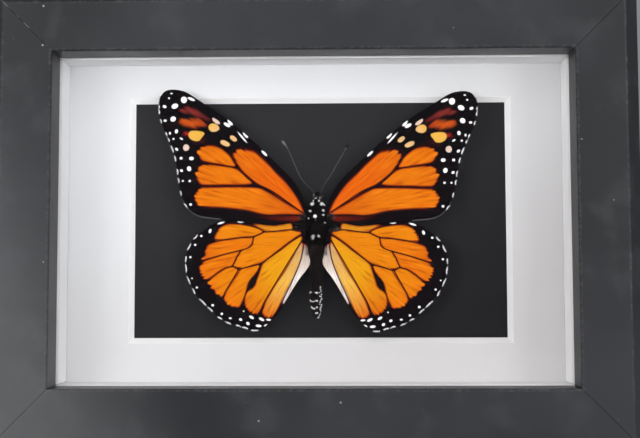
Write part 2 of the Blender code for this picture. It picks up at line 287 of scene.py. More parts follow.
def store(mesh, name, values):
    """Keeps an array on the mesh's points as an attribute."""
    values = np.asarray(values, np.float32)
    if values.ndim == 1:
        mesh.attributes.new(name, "FLOAT", "POINT").data.foreach_set("value", values)
    else:
        vectors = mesh.attributes.new(name, "FLOAT_VECTOR", "POINT").data
        vectors.foreach_set("vector", values.ravel())


def attach(piece, slot, *nodes):
    """Hands a finished piece over: it rides on the only body and may stand for solids."""
    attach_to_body(piece, "root")
    if nodes:
        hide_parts(*nodes)
    print(piece.name, len(piece.data.polygons), "faces")
    return piece


# %% Floor
FLOOR_REACH = 6.0
FLOOR_Z = -0.1 * MM
CORNERS = ((-1, -1), (1, -1), (1, 1), (-1, 1))
floor_paint = Finish("floor_paint", (0.78, 0.78, 0.77), 0.9)
floor = mesh_piece("floor", [(x * FLOOR_REACH, y * FLOOR_REACH, FLOOR_Z) for x, y in CORNERS],
                   [(0, 1, 2, 3)], [floor_paint])
floor.visible_glossy = floor.visible_transmission = False
print("floor laid", FLOOR_Z, "m from the frame's base")

# %% [markdown]
# ## The black moulding
#
# The sides are fibreboard wrapped in a satin black foil. A foil has a very fine tooth, is a little
# uneven in its gloss, and rubs greyer along its edges. It turns round the back for a few
# millimetres and leaves the raw board bare behind it. Noise at three scales gives the gloss and
# the tooth, and an attribute that the mesh carries says how near the rubbed edge is.

# %% Foil and bare fibreboard
def foil_finish():
    foil = Finish("black_foil", (0.02, 0.021, 0.024), 0.42, Specular_IOR_Level=0.42)
    haze = foil.noise(17.0, 4.0)
    smear = foil.noise(95.0, 5.0)
    grain = foil.noise(2600.0, 2.0)
    rub = foil.known("edge") * foil.noise(700.0, 4.0).step(0.40, 0.75)
    dust = foil.specks(230.0, 0.06, 0.80).most(foil.specks(95.0, 0.035, 0.5))
    chip = foil.known("worn") * foil.noise(330.0, 3.0).step(0.44, 0.56)
    tone = foil.mix(haze.step(0.35, 0.68), (0.012, 0.013, 0.0155), (0.026, 0.027, 0.031))
    # Painted reflection: the foil is painted paler towards the lower left of the frame, standing in
    # for light mirrored there.
    painted_reflection = ((CENTRE.x - foil.axis(0)) - (foil.axis(2) - CENTRE.z) * 0.6).step(0.058, 0.125)
    tone = foil.mix(smear.step(0.50, 0.72) * 0.35, tone, (0.048, 0.05, 0.054))
    tone = foil.mix(painted_reflection * (0.5 + smear * 0.5), tone, (0.105, 0.107, 0.112))
    tone = foil.mix(rub * 0.4, tone, (0.11, 0.11, 0.115))
    tone = foil.mix(dust * 0.6, tone, (0.42, 0.42, 0.42))
    tone = foil.mix(chip, tone, (0.30, 0.30, 0.30))
    foil.set(Base_Color=tone, Roughness=0.28 + haze * 0.16 + smear * 0.12 + grain * 0.05)
    return foil.bump(grain + 0.5 * foil.noise(700.0, 2.0), 0.02 * MM, 0.5)


def fibreboard_finish():
    board = Finish("bare_fibreboard", (0.36, 0.25, 0.15), 0.9)
    fibre = board.noise(900.0, 5.0, (1, 1, 0.35))
    flecks = board.noise(240.0, 2.0)
    tone = board.mix(fibre.step(0.3, 0.7), (0.24, 0.155, 0.09), (0.44, 0.32, 0.20))
    board.set(Base_Color=board.mix(flecks.step(0.58, 0.7) * 0.5, tone, (0.16, 0.10, 0.06)))
    return board.bump(fibre, 0.06 * MM, 0.7)


foil = foil_finish()
fibreboard = fibreboard_finish()

# %% [markdown]
# ## Mitred sides
#
# Each side is one section swept straight and cut at 45 degrees at both ends. The section is a
# list of points: an arc at the inner edge, a flat face, and a second arc that turns into a sloping
# chamfer at the outer edge. The end rings are set in a hair, which eases the mitre and makes the
# joint show as a fine line, as glued corners do. A mitre can be marked as chipped.

# %% The moulding's section
EASE = 0.6 * MM
ARC_STEPS = 8
CHAMFER_W = 3.6 * MM
CHAMFER_LEAN = 40
SOFT = 0.3 * MM
TURN = 0.4 * MM
FLAT = FACE - CHAMFER_W
FOIL_TURN = 4.0 * MM
REBATE = 3.5 * MM
MITRE_PLAY = 0.05 * MM
MITRE_EASE = 0.05 * MM
WEAR = 0.26 * MM
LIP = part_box("glass_pane")[0].y - PLAY - FRONT
DEPTH = BACK - FRONT


def arc(centre, start, end):
    """Points on a rounded edge of radius EASE, from one angle in degrees to another."""
    turns = np.radians(np.linspace(start, end, ARC_STEPS + 1))
    return [(centre[0] + EASE * math.cos(a), centre[1] + EASE * math.sin(a)) for a in turns]


def moulding_section():
    """Points (out from the sight edge, behind the front face), whether bare, and edge rub."""
    inner = [(p, 0, 1.0) for p in arc((EASE, EASE), 180, 270)]
    outer = [(p, 0, 1.0) for p in arc((FLAT - EASE, EASE), 270, 270 + CHAMFER_LEAN)]
    face = [((EASE + TURN, 0), 0, 0.0), ((FLAT - EASE - TURN, 0), 0, 0.0)]
    near = Vector(outer[-1][0])
    far = Vector((FACE, near.y + (FACE - near.x) * math.tan(math.radians(CHAMFER_LEAN))))
    rest = [(near.lerp(far, 0.1), 0, 0.0), (near.lerp(far, 0.93), 0, 0.0), (far, 0, 0.7),
            ((FACE, far.y + 0.5 * MM), 0, 0.0), ((FACE, DEPTH - SOFT), 0, 0.0),
            ((FACE - SOFT, DEPTH), 0, 1.0), ((FACE - FOIL_TURN, DEPTH), 1, 0.0),
            ((REBATE, DEPTH), 1, 0.0), ((REBATE, LIP), 1, 0.0), ((SOFT, LIP), 0, 0.0),
            ((0, LIP - SOFT), 0, 0.3), ((0, EASE + TURN), 0, 0.0)]
    return inner + face + outer + rest


def mitred_side(node, along, out, half_run, half_stack, chipped=(0.0, 0.0)):
    """One side of the frame as a closed mesh. chipped says how worn its two mitres are."""
    section = moulding_section()
    count = len(section)
    middle = Vector((FACE / 2, DEPTH / 2))
    points, rub, worn = [], [], []
    rings = [(end, inset) for end, insets in ((-1, (0.0, MITRE_EASE, WEAR)),
                                              (1, (WEAR, MITRE_EASE, 0.0))) for inset in insets]
    for end, inset in rings:
        for (reach, depth), _, edge in section:
            pull = 0.0 if inset else MITRE_EASE
            reach += math.copysign(min(pull, abs(middle.x - reach)), middle.x - reach)
            depth += math.copysign(min(pull, abs(middle.y - depth)), middle.y - depth)
            run = end * (half_run + reach - MITRE_PLAY - inset)
            points.append(CENTRE + Vector(along) * run + Vector(out) * (half_stack + reach)
                          + Vector((0, depth, 0)))
            rub.append(edge)
            worn.append(0.0 if inset == WEAR else chipped[end > 0])
    faces, slots = [], []
    for ring in range(len(rings) - 1):
        for i in range(count):
            j = (i + 1) % count
            faces.append((ring * count + i, ring * count + j, (ring + 1) * count + j,
                          (ring + 1) * count + i))
            slots.append(section[i][1])
    faces += [tuple(range(count)), tuple(range(len(points) - 1, len(points) - 1 - count, -1))]
    piece = mesh_piece(node + "_wrapped", points, faces, [foil, fibreboard], slots + [0, 0])
    store(piece.data, "edge", rub)
    store(piece.data, "worn", worn)
    piece.data.set_sharp_from_angle(angle=math.radians(35))
    return attach(piece, "frame_foil", node)


# %% The four sides
mitred_side("rail_top", (1, 0, 0), (0, 0, 1), HALF_W, HALF_H, (1.0, 0.0))
mitred_side("rail_bottom", (1, 0, 0), (0, 0, -1), HALF_W, HALF_H, (0.12, 0.0))
mitred_side("stile_left", (0, 0, 1), (-1, 0, 0), HALF_H, HALF_W)
mitred_side("stile_right", (0, 0, 1), (1, 0, 0), HALF_H, HALF_W)


# %% [markdown]
# ## Glass
#
# The pane is clear with low mirroring, like picture glass with a coating against glare, so its
# IOR is set well below that of bare glass. A refracting pane would block the lamps, so for rays on
# their way to a lamp the shader is swapped for a transparent one. That is the usual way to light
# what stands behind a window.

# %% The pane's material
COATED_IOR = 1.16


def glass_finish():
    glass = Finish("clear_glass", (0.995, 0.995, 0.995), 0.0, IOR=COATED_IOR,
                   Transmission_Weight=1.0)
    clear = glass.node("BsdfTransparent", None, {"Color": (0.98, 0.98, 0.98)})
    to_lamp = glass.node("LightPath", None, None, "Is Shadow Ray")
    swap = glass.node("MixShader", None, {0: to_lamp, 2: clear})
    glass.tree.links.new(glass.shader.outputs[0], swap.socket.node.inputs[1])
    output = glass.tree.nodes["Material Output"]
    glass.tree.links.new(swap.socket, output.inputs["Surface"])
    return glass


def dress(node, finish):
    """Gives a solid from the frame a new material, its shape untouched."""
    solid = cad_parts[node]
    solid.data.materials.clear()
    solid.data.materials.append(finish.material)


glass = glass_finish()
dress("glass_pane", glass)

# %% [markdown]
# ## White card
#
# The liner strips and the mat are the same matt white card. Card is never one flat white: it has
# a felt-like tooth, faint clouds and a few specks. Where the window is cut, the blade shows the
# brighter core, so the mat has a second material on its bevel.

# %% Card materials
def painted_falloff(finish):
    """0 at the lower right of the frame and 1 at the upper left: painted shade, as the light falls
    off towards the lower right.
    """
    across = finish.axis(0) - CENTRE.x
    up = finish.axis(2) - CENTRE.z
    return (up * 0.8 - across * 0.5).step(-0.06, 0.06)


def card_finish(name, low, high, tooth):
    card = Finish(name, high, 0.85, Specular_IOR_Level=0.3)
    felt = card.noise(1500.0, 4.0)
    cloud = card.noise(22.0, 3.0)
    speck = card.specks(110.0, 0.035, 0.88)
    # Painted shade: the card runs from high down to low towards the lower right of the frame, with
    # a little real cloudiness.
    tone = card.mix(painted_falloff(card) * 0.8 + cloud * 0.2, low, high)
    tone = card.mix(felt * 0.08, tone, (0.5, 0.5, 0.52))
    card.set(Base_Color=card.mix(speck * 0.7, tone, (0.25, 0.24, 0.23)))
    return card.bump(felt, 0.04 * MM, tooth)


mat_paper = card_finish("mat_paper", (0.49, 0.476, 0.478), (0.775, 0.79, 0.81), 0.6)
mat_core = card_finish("mat_core", (0.62, 0.61, 0.61), (0.96, 0.96, 0.965), 0.3)
liner_card = card_finish("liner_card", (0.90, 0.895, 0.90), (0.95, 0.955, 0.96), 0.4)
for strip in ("liner_top", "liner_bottom", "liner_left", "liner_right"):
    dress(strip, liner_card)

# %% The window mat
WINDOW_X = 1.6 * MM
WINDOW_Z = 0.7 * MM
WINDOW_W = 109.2 * MM
WINDOW_H = 69.2 * MM
MAT_EASE = 0.12 * MM


def window_mat():
    """A sheet with a bevelled window. Each ring is (inset of the window, depth)."""
    low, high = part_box("window_mat")
    thick = high.y - low.y
    middle = (low + high) / 2
    half_x, half_z = (high.x - low.x) / 2, (high.z - low.z) / 2
    window = Vector((CENTRE.x + WINDOW_X, 0, CENTRE.z + WINDOW_Z))
    points = [(middle.x + sx * half_x, y, middle.z + sz * half_z)
              for y in (low.y, high.y) for sx, sz in CORNERS]
    rings = [(thick + MAT_EASE, low.y), (thick - MAT_EASE / 3, low.y + MAT_EASE),
             (0.0, high.y)]
    for inset, y in rings:
        points += [(window.x + sx * (WINDOW_W / 2 + inset), y,
                    window.z + sz * (WINDOW_H / 2 + inset)) for sx, sz in CORNERS]
    faces, slots = [], []
    for i in range(4):
        j = (i + 1) % 4
        faces += [(i, j, 8 + j, 8 + i), (8 + i, 8 + j, 12 + j, 12 + i),
                  (12 + i, 12 + j, 16 + j, 16 + i), (4 + i, 4 + j, 16 + j, 16 + i),
                  (i, j, 4 + j, 4 + i)]
        slots += [0, 1, 1, 0, 1]
    return mesh_piece("window_mat_cut", points, faces, [mat_paper, mat_core], slots, False)


attach(window_mat(), "white_card", "window_mat")


# %% [markdown]
# ## Black card
#
# The insect is pinned to a foam board faced with black paper. Black paper is a dark grey with
# short lighter fibres lying every way, and it shows every speck of dust.

# %% Black paper
def black_paper_finish():
    paper = Finish("black_paper", (0.014, 0.014, 0.015), 0.8, Specular_IOR_Level=0.25)
    felt = paper.noise(1300.0, 5.0)
    fibre = paper.noise(600.0, 2.0, (1, 1, 4.0)).step(0.60, 0.75)
    fibre = fibre.most(paper.noise(600.0, 2.0, (4.0, 1, 1)).step(0.62, 0.78))
    # Painted shade: cloud is mostly the paper painted darker towards the lower right, with a little
    # real cloudiness, and it also dims the fibres.
    cloud = paper.noise(14.0, 2.0) * 0.3 + painted_falloff(paper) * 0.7
    speck = paper.specks(200.0, 0.03, 0.86)
    tone = paper.mix(cloud, (0.001, 0.001, 0.0018), (0.021, 0.021, 0.0235))
    tone = paper.mix((fibre * 0.22 + felt * 0.10) * (0.35 + cloud), tone, (0.06, 0.06, 0.065))
    paper.set(Base_Color=paper.mix(speck * 0.45, tone, (0.45, 0.45, 0.47)))
    return paper.bump(felt, 0.015 * MM, 0.5)


black_paper = black_paper_finish()
dress("black_card", black_paper)


# %% [markdown]
# ## The back
#
# Behind the card lies a sheet of hardboard, smooth and brown with darker fibre flecks, held in by
# six steel points that are driven into the rails and bent flat. A toothed hanger is riveted near
# its top. The solids have the right shape but knife-sharp edges, so each is copied, merged, and
# given a small bevel that catches the light.

# %% Hardboard and zinc
def hardboard_finish():
    board = Finish("hardboard", (0.2, 0.12, 0.065), 0.6)
    fibre = board.noise(500.0, 6.0)
    fleck = board.noise(1600.0, 2.0, (1, 1, 0.3)).step(0.60, 0.72)
    weave = board.node("TexWave", {"bands_direction": "DIAGONAL"},
                       {"Vector": board.place(), "Scale": 260.0, "Distortion": 1.5})
    tone = board.mix(fibre.step(0.3, 0.7), (0.13, 0.075, 0.04), (0.24, 0.15, 0.085))
    board.set(Base_Color=board.mix(fleck * 0.6, tone, (0.07, 0.04, 0.022)),
              Roughness=0.5 + fibre * 0.25)
    return board.bump(fibre + weave * 0.3, 0.05 * MM, 0.6)


def zinc_finish():
    zinc = Finish("zinc_steel", (0.6, 0.61, 0.63), 0.35, Metallic=1.0)
    spangle = zinc.cells(900.0, output="Color")
    patch = zinc.node("SeparateColor", None, {0: spangle}, output=0)
    scratch = zinc.noise(1500.0, 2.0, (0.15, 1, 3.0)).step(0.55, 0.65)
    zinc.set(Base_Color=zinc.mix(patch * 0.5, (0.56, 0.57, 0.60), (0.70, 0.71, 0.72)),
             Roughness=0.28 + patch * 0.14 + scratch * 0.15)
    return zinc.bump(scratch + patch * 0.3, 0.01 * MM, 0.5)


hardboard = hardboard_finish()
zinc = zinc_finish()
dress("back_board", hardboard)


# %% Bevelled copies of solids
def bevelled_copy(node, name, width, finish=zinc, slot="zinc_steel"):
    """The same shape with eased edges, standing for its solid."""
    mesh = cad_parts[node].data.copy()
    bm = bmesh.new()
    bm.from_mesh(mesh)
    bmesh.ops.remove_doubles(bm, verts=bm.verts, dist=0.002 * MM)
    bmesh.ops.dissolve_limit(bm, angle_limit=math.radians(1), verts=bm.verts, edges=bm.edges)
    sharp = [e for e in bm.edges if len(e.link_faces) == 2 and e.calc_face_angle() > 0.5]
    bmesh.ops.bevel(bm, geom=sharp, offset=width, segments=2, affect="EDGES",
                    profile=0.5, clamp_overlap=True)
    bm.to_mesh(mesh)
    bm.free()
    mesh.materials.clear()
    mesh.materials.append(finish.material)
    mesh.name = name
    mesh.shade_smooth()
    mesh.set_sharp_from_angle(angle=math.radians(40))
    return attach(new_object(name, mesh), slot, node)


for number in range(1, 7):
    bevelled_copy(f"retaining_point_{number}", f"steel_point_{number}", 0.08 * MM)
bevelled_copy("sawtooth_hanger", "toothed_hanger", 0.12 * MM)
for word in ("left", "right"):
    bevelled_copy(f"hanger_rivet_{word}", f"domed_rivet_{word}", 0.1 * MM)

# %% [markdown]
# ## Wing scales
#
# A wing's colours sit in cells between its veins. Each cell is drawn once as an outline with a
# few points, in millimetres out from the midline and towards the head, and a curve is run through
# them. From the outlines the mesh gets attributes: how far each point is inside a cell or a
# white spot, and the cell's own colour. A distance varies evenly, so the shader can cut it into a
# crisp edge that is finer than the mesh, with a dark red rim as the scales have.

# %% Colours as seen on a screen, made linear for light
def paint(red, green, blue):
    """A colour given in 0 to 255 screen values."""
    parts = [value / 255 for value in (red, green, blue)]
    return tuple(v / 12.92 if v < 0.04045 else ((v + 0.055) / 1.055) ** 2.4 for v in parts)


# The pigments of the wings, mixed for this insect. A marking names one, or several from the
# wing's root outwards.
PIGMENT = {
    "ember": (214, 92, 12), "flame": (236, 102, 8), "rust": (226, 112, 8),
    "orange": (236, 122, 8), "amber": (238, 136, 8), "honey": (230, 148, 32),
    "gold": (240, 165, 20), "straw": (250, 196, 84), "butter": (246, 188, 80),
    "peach": (246, 200, 138), "shell": (244, 214, 196), "sand": (215, 172, 120),
    "dove": (165, 148, 138), "white": (254, 250, 244), "pearl": (244, 230, 228),
    "soot": (24, 3, 3), "oxblood": (74, 16, 10), "plum": (72, 17, 20), "brick": (106, 28, 15),
    "garnet": (116, 22, 6), "clay": (118, 40, 35), "chestnut": (140, 44, 18),
    "copper": (188, 78, 21), "rose": (152, 33, 34)}


# %% Forewing outline and cells
FOREWING = [
    (2.4, 0.8), (2.6, 3.6), (5.9, 10.1), (11.8, 16.1), (17.6, 21.5), (23.5, 26.5), (27.9, 29.8),
    (30.9, 31.7), (33.8, 33.4), (37.1, 35.5), (39.1, 36.5), (40.9, 36.9), (42.4, 37.0),
    (43.8, 36.8), (45.0, 36.2), (45.9, 34.9), (46.3, 33.3), (46.3, 31.8), (46.0, 28.9),
    (45.0, 26.2), (43.8, 23.6), (42.6, 20.9), (41.2, 17.1), (40.3, 13.0), (39.9, 10.4),
    (39.1, 6.5), (38.5, 5.1), (37.8, 3.4), (36.8, 2.3), (35.6, 1.2), (34.1, 0.4), (32.4, -0.1),
    (27.9, -0.5), (20.6, -1.2), (13.0, -2.0), (9.5, -1.6), (5.0, -0.9), (3.0, -0.4),
]
# Each cell: its layer, its pigments, and its outline. Cells that
# share a vein are in different layers, so that the thin dark line between them stays sharp.
FOREWING_CELLS = [
    ("a", "flame flame rust", [
        (3.7, 2.1), (4.1, 3.0), (5.1, 5.1), (6.8, 7.7), (8.8, 10.1), (11.8, 13.0), (14.1, 15.4),
        (16.5, 17.6), (18.2, 18.9), (20.0, 19.5), (22.1, 19.7), (23.5, 19.3), (24.4, 18.6),
        (24.1, 17.7), (22.6, 15.4), (21.2, 13.6), (19.1, 11.8), (17.4, 10.5), (15.3, 9.3),
        (12.9, 8.0), (10.3, 6.2), (7.9, 4.8), (5.9, 3.3), (4.4, 2.3)]),
    ("b", "orange orange rust", [
        (23.8, 15.1), (24.4, 16.2), (25.3, 17.6), (26.5, 18.7), (27.9, 19.7), (29.7, 20.4),
        (31.5, 20.6), (32.9, 20.4), (34.1, 19.6), (34.6, 18.7), (34.1, 17.7), (33.4, 16.8),
        (32.4, 16.3), (30.3, 15.9), (27.9, 15.6), (25.6, 15.1)]),
    ("c", "orange orange rust", [
        (18.8, 10.2), (20.0, 11.4), (21.5, 12.7), (22.9, 13.7), (24.4, 14.3), (26.5, 14.6),
        (29.4, 14.9), (31.8, 15.0), (33.2, 14.9), (34.3, 14.0), (34.9, 12.7), (34.9, 11.5),
        (34.1, 10.4), (33.2, 9.6), (30.9, 9.5), (26.5, 9.7), (22.1, 9.8)]),
    ("b", "ember orange orange", [
        (3.7, 1.5), (5.9, 2.7), (8.8, 4.3), (11.8, 6.1), (14.7, 7.7), (17.4, 8.6), (25.0, 8.6),
        (29.4, 8.4), (32.4, 8.4), (33.5, 8.1), (34.4, 7.3), (35.1, 5.8), (35.0, 4.8),
        (34.1, 3.7), (32.9, 3.1), (27.9, 3.1), (22.1, 2.7), (19.1, 2.3), (16.2, 1.6),
        (13.2, 1.2), (10.3, 1.4), (7.4, 1.5)]),
    ("pale", "butter", [
        (32.8, 24.3), (34.1, 24.9), (36.2, 25.0), (37.2, 24.6), (37.5, 23.6), (36.9, 22.6),
        (35.6, 22.0), (34.3, 22.1), (33.7, 22.9)]),
    ("pale", "peach butter", [
        (28.5, 25.8), (29.1, 26.8), (30.6, 27.3), (31.6, 26.7), (31.6, 25.6), (30.6, 24.8),
        (29.1, 25.1)]),
    ("pale", "shell", [
        (28.4, 27.1), (28.7, 27.9), (29.7, 28.6), (30.6, 29.0), (30.7, 28.4), (30.0, 27.6),
        (29.1, 27.1)]),
    ("pale", "peach", [
        (23.3, 22.4), (23.6, 23.2), (24.6, 23.9), (25.3, 23.8), (25.4, 23.2), (24.9, 22.6),
        (24.1, 22.1)]),
    ("pale", "peach", [
        (25.3, 21.0), (25.7, 21.7), (27.0, 22.4), (28.1, 22.3), (28.1, 21.6), (27.3, 21.0),
        (26.1, 20.6)]),
    ("pale", "shell", [
        (37.4, 20.7), (38.2, 21.0), (38.8, 20.5), (38.9, 19.7), (38.4, 19.1), (37.6, 19.2),
        (37.1, 19.9)]),
]
# Soft-edged reds: the brick band along the hind edge, blushes beside the cells, and the tip's
# two streaks.
FOREWING_BLUSHES = [
    ("brick oxblood soot", [
        (4.3, 1.1), (9.0, 1.0), (13.0, 0.8), (16.0, 1.0), (19.0, 1.2), (16.0, 0.2), (13.0, -0.6),
        (9.0, -0.8), (5.0, -0.7)]),
    ("garnet", [
        (4.6, 4.3), (6.0, 6.8), (8.4, 9.9), (11.4, 13.1), (14.3, 16.1), (16.9, 18.3),
        (19.0, 19.7), (22.0, 20.1), (20.0, 19.5), (16.5, 17.7), (11.8, 13.1), (6.8, 7.8)]),
    ("plum clay clay", [
        (30.8, 28.5), (32.8, 29.6), (34.9, 31.1), (37.0, 31.9), (39.3, 31.8), (40.4, 31.0),
        (39.2, 30.0), (36.5, 29.7), (34.5, 28.9), (32.5, 28.0)]),
    ("chestnut copper copper", [
        (31.9, 26.8), (33.8, 28.0), (35.9, 28.6), (37.9, 28.6), (39.6, 28.3), (40.2, 27.6),
        (39.2, 26.6), (37.4, 25.9), (35.3, 25.6), (33.6, 26.0)]),
    ("rose", [
        (36.8, 24.5), (38.0, 24.7), (39.5, 24.0), (38.2, 23.3), (36.9, 23.4)]),
    ("plum", [
        (31.6, 22.4), (33.2, 22.9), (34.2, 21.8), (36.6, 21.6), (37.2, 22.2), (36.0, 21.2),
        (33.6, 21.4)]),
]
# White spots: middle x, middle z, length, width, and turn in degrees
FOREWING_SPOTS = [
    (15.3, 18.9, 2.1, 0.65, 43), (20.9, 24.1, 2.0, 0.8, 48), (21.8, 23.4, 3.8, 0.45, 48),
    (25.5, 27.7, 2.0, 0.8, 48), (26.4, 27.0, 2.0, 0.9, 30), (37.0, 34.3, 2.1, 0.75, 22),
    (39.1, 34.0, 1.9, 1.7, 80), (42.8, 35.8, 0.7, 0.4, 0), (43.5, 34.4, 0.6, 0.5, 0),
    (41.7, 32.1, 1.9, 1.4, -25), (44.7, 31.9, 1.1, 0.8, 20), (42.1, 28.3, 1.6, 1.4, -30),
    (44.4, 27.8, 0.9, 0.7, 0), (41.0, 24.7, 1.2, 0.9, 100), (42.9, 24.1, 0.8, 0.6, 90),
    (39.5, 22.6, 1.0, 0.5, 30), (41.8, 22.5, 0.65, 0.6, 0),
    (40.8, 19.5, 1.0, 0.7, 40), (36.4, 16.9, 1.3, 1.0, 0), (39.4, 16.9, 0.85, 0.8, 0),
    (37.0, 13.9, 1.4, 1.2, 70), (39.2, 13.3, 0.9, 0.7, 30), (36.7, 10.3, 0.7, 0.65, 0),
    (38.7, 10.3, 0.6, 0.55, 0), (36.2, 3.5, 0.75, 0.7, 0),
]
# Black spots inside the cells, drawn like the white ones
FOREWING_DARKS = [(34.9, 14.0, 1.6, 0.5, 5), (34.6, 10.9, 1.4, 0.4, 0), (34.5, 6.4, 1.2, 0.35, 0)]
# Where white scales show on the fringe of the margin: x, z, and length along it
FOREWING_DASHES = [
    (46.2, 31.8, 1.0), (46.2, 30.3, 1.2), (45.5, 27.6, 1.3), (43.9, 23.8, 1.2),
    (43.1, 22.3, 1.0), (42.1, 19.5, 1.8), (40.9, 16.8, 1.3), (40.3, 12.9, 1.2),
    (39.8, 10.4, 1.3), (39.1, 6.7, 1.4), (37.6, 3.1, 1.2),
]
# Veins run from the root to the margin
FOREWING_VEINS = [
    [(3.4, 3.6), (8.8, 11.0), (14.1, 16.4), (18.2, 19.9), (24.8, 23.2), (31.5, 29.6), (42.0, 35.6)],
    [(3.8, 1.9), (8.0, 4.7), (13.0, 8.0), (17.6, 9.9), (19.5, 11.2), (22.5, 14.1), (24.0, 16.6),
     (24.9, 19.2), (22.0, 20.4), (18.2, 19.9)],
    [(17.6, 9.6), (22.0, 9.2), (28.0, 9.05), (34.0, 8.9), (39.7, 8.6)],
    [(22.6, 14.3), (26.0, 14.9), (30.0, 15.4), (34.0, 16.1), (41.0, 16.6)],
    [(24.9, 19.2), (29.0, 21.2), (34.5, 21.3), (42.6, 21.2)],
    [(24.9, 19.2), (31.0, 24.2), (38.0, 25.8), (44.7, 25.4)],
    [(25.5, 21.4), (32.0, 28.2), (39.5, 29.6), (46.0, 29.2)],
    [(3.8, 1.1), (9.0, 1.1), (15.0, 0.9), (22.0, 2.1), (29.0, 2.4), (35.0, 2.3), (37.2, 2.7)],
]

# %% Hindwing outline and cells
HINDWING = [
    (2.4, -6.2), (2.9, -3.4), (5.6, -1.7), (9.0, -1.1), (19.0, -1.0), (24.0, -0.6), (28.1, -1.3),
    (29.8, -2.0), (31.2, -3.1), (32.9, -4.3), (34.0, -5.1), (35.2, -6.4), (36.2, -8.1),
    (36.9, -9.5), (37.3, -11.0), (37.4, -12.4), (37.3, -14.3), (36.7, -17.6), (35.8, -19.3),
    (35.1, -20.7), (34.3, -22.4), (32.9, -23.8), (31.2, -25.4), (29.3, -27.1), (27.6, -28.7),
    (26.2, -29.4), (24.5, -30.4), (22.1, -31.0), (20.2, -31.5), (16.8, -32.4), (14.8, -31.7),
    (13.3, -30.7), (12.3, -29.3), (10.5, -27.4), (8.5, -24.2), (6.0, -19.8), (4.3, -17.1),
    (2.6, -14.8), (1.4, -12.6), (1.8, -10.2), (2.1, -8.3),
]
HINDWING_CELLS = [
    ("c", "honey", [
        (6.9, -2.3), (7.6, -1.2), (9.5, -1.7), (11.9, -2.1), (14.3, -2.0), (16.7, -1.7),
        (18.1, -1.6), (16.7, -2.4), (15.5, -3.0), (14.3, -3.6), (11.9, -3.5), (9.5, -3.3),
        (7.1, -3.0)]),
    ("b", "amber", [
        (15.2, -3.7), (16.7, -3.0), (18.6, -2.4), (20.7, -2.2), (22.9, -2.0), (25.2, -2.1),
        (26.9, -2.7), (28.1, -3.7), (28.9, -4.9), (29.2, -6.0), (28.8, -6.5), (27.4, -6.4),
        (25.0, -6.0), (22.6, -5.6), (20.2, -5.2), (18.1, -5.1), (16.7, -4.5)]),
    ("c", "orange orange rust", [
        (18.2, -5.7), (20.2, -5.7), (22.6, -6.1), (25.0, -6.5), (27.4, -6.9), (29.0, -7.3),
        (30.7, -8.1), (31.5, -9.0), (31.9, -10.0), (31.9, -11.0), (32.6, -12.1), (31.0, -11.9),
        (28.6, -11.2), (26.2, -10.5), (23.8, -9.8), (21.4, -9.2), (19.8, -8.7), (18.8, -7.6),
        (18.3, -6.4)]),
    ("b", "rust orange orange", [
        (21.7, -9.4), (23.8, -10.0), (26.2, -10.8), (28.6, -11.7), (31.0, -12.5), (32.4, -13.3),
        (33.3, -14.5), (33.2, -15.5), (32.4, -17.1), (31.4, -18.2), (30.7, -17.9),
        (29.3, -16.7), (27.4, -15.2), (25.7, -14.3), (24.0, -13.8), (22.9, -11.4),
        (22.1, -10.2)]),
    ("a", "amber", [
        (4.4, -4.0), (5.7, -3.5), (6.9, -3.2), (9.5, -3.7), (11.9, -3.8), (14.3, -4.0),
        (16.2, -4.8), (17.7, -5.6), (18.2, -7.1), (19.0, -8.5), (21.0, -9.4), (22.1, -11.0),
        (22.9, -12.4), (23.7, -13.8), (22.6, -14.2), (21.4, -14.6), (19.0, -13.8),
        (16.7, -13.0), (15.2, -12.4), (13.3, -11.0), (10.7, -8.9), (8.3, -6.9), (6.0, -5.2)]),
    ("c", "amber amber orange", [
        (22.0, -15.2), (22.9, -14.6), (24.0, -14.4), (25.7, -14.9), (27.4, -16.0),
        (29.0, -17.1), (30.1, -18.2), (30.6, -18.8), (30.1, -20.0), (29.0, -21.2),
        (27.9, -22.1), (26.5, -22.7), (25.7, -21.2), (24.3, -18.8), (23.1, -16.9)]),
    ("b", "amber amber orange", [
        (16.0, -13.6), (16.7, -13.6), (19.0, -14.3), (21.2, -15.0), (22.1, -16.4),
        (23.8, -19.0), (25.2, -21.4), (26.0, -23.0), (25.7, -23.8), (24.3, -25.2),
        (22.9, -25.6), (21.7, -25.6), (21.1, -24.5), (20.2, -22.6), (19.8, -21.0),
        (19.5, -19.3), (18.8, -17.9), (17.6, -16.4), (16.7, -15.2)]),
    ("c", "gold gold rust", [
        (4.3, -5.1), (7.1, -6.9), (9.5, -8.9), (11.9, -10.7), (14.3, -12.5), (15.2, -13.8),
        (15.7, -15.5), (16.4, -17.6), (17.0, -19.5), (18.1, -20.7), (19.0, -21.0),
        (19.8, -22.6), (20.0, -24.5), (19.0, -26.2), (17.6, -27.5), (16.7, -27.5),
        (15.7, -26.4), (14.3, -23.8), (12.6, -21.0), (10.7, -17.9), (8.8, -14.8), (6.9, -11.4),
        (5.2, -8.3), (4.3, -6.2)]),
    ("b", "sand straw rust", [
        (4.0, -6.9), (5.5, -9.5), (7.1, -12.6), (9.0, -16.0), (11.0, -19.0), (12.9, -22.4),
        (14.3, -25.2), (14.8, -26.7), (14.3, -28.0), (12.9, -28.5), (11.7, -27.7),
        (10.5, -25.7), (9.3, -23.1), (7.6, -19.8), (6.0, -16.2), (4.5, -12.6), (3.8, -9.5)]),
    ("a", "dove white pearl", [
        (3.3, -7.4), (3.7, -9.5), (4.5, -12.9), (6.2, -16.8), (7.6, -20.0), (8.6, -22.3),
        (9.4, -24.3), (8.0, -23.6), (5.9, -20.2), (4.2, -17.4), (2.5, -15.1), (1.2, -12.6),
        (1.9, -10.2), (2.3, -8.3)]),
]
HINDWING_BLUSHES = [
    ("garnet", [
        (23.8, -13.6), (22.9, -11.6), (21.6, -9.6), (21.3, -9.9), (22.6, -11.8), (23.4, -13.6)]),
    ("garnet", [
        (18.5, -8.2), (17.9, -5.6), (18.2, -5.6), (18.8, -7.9)]),
]
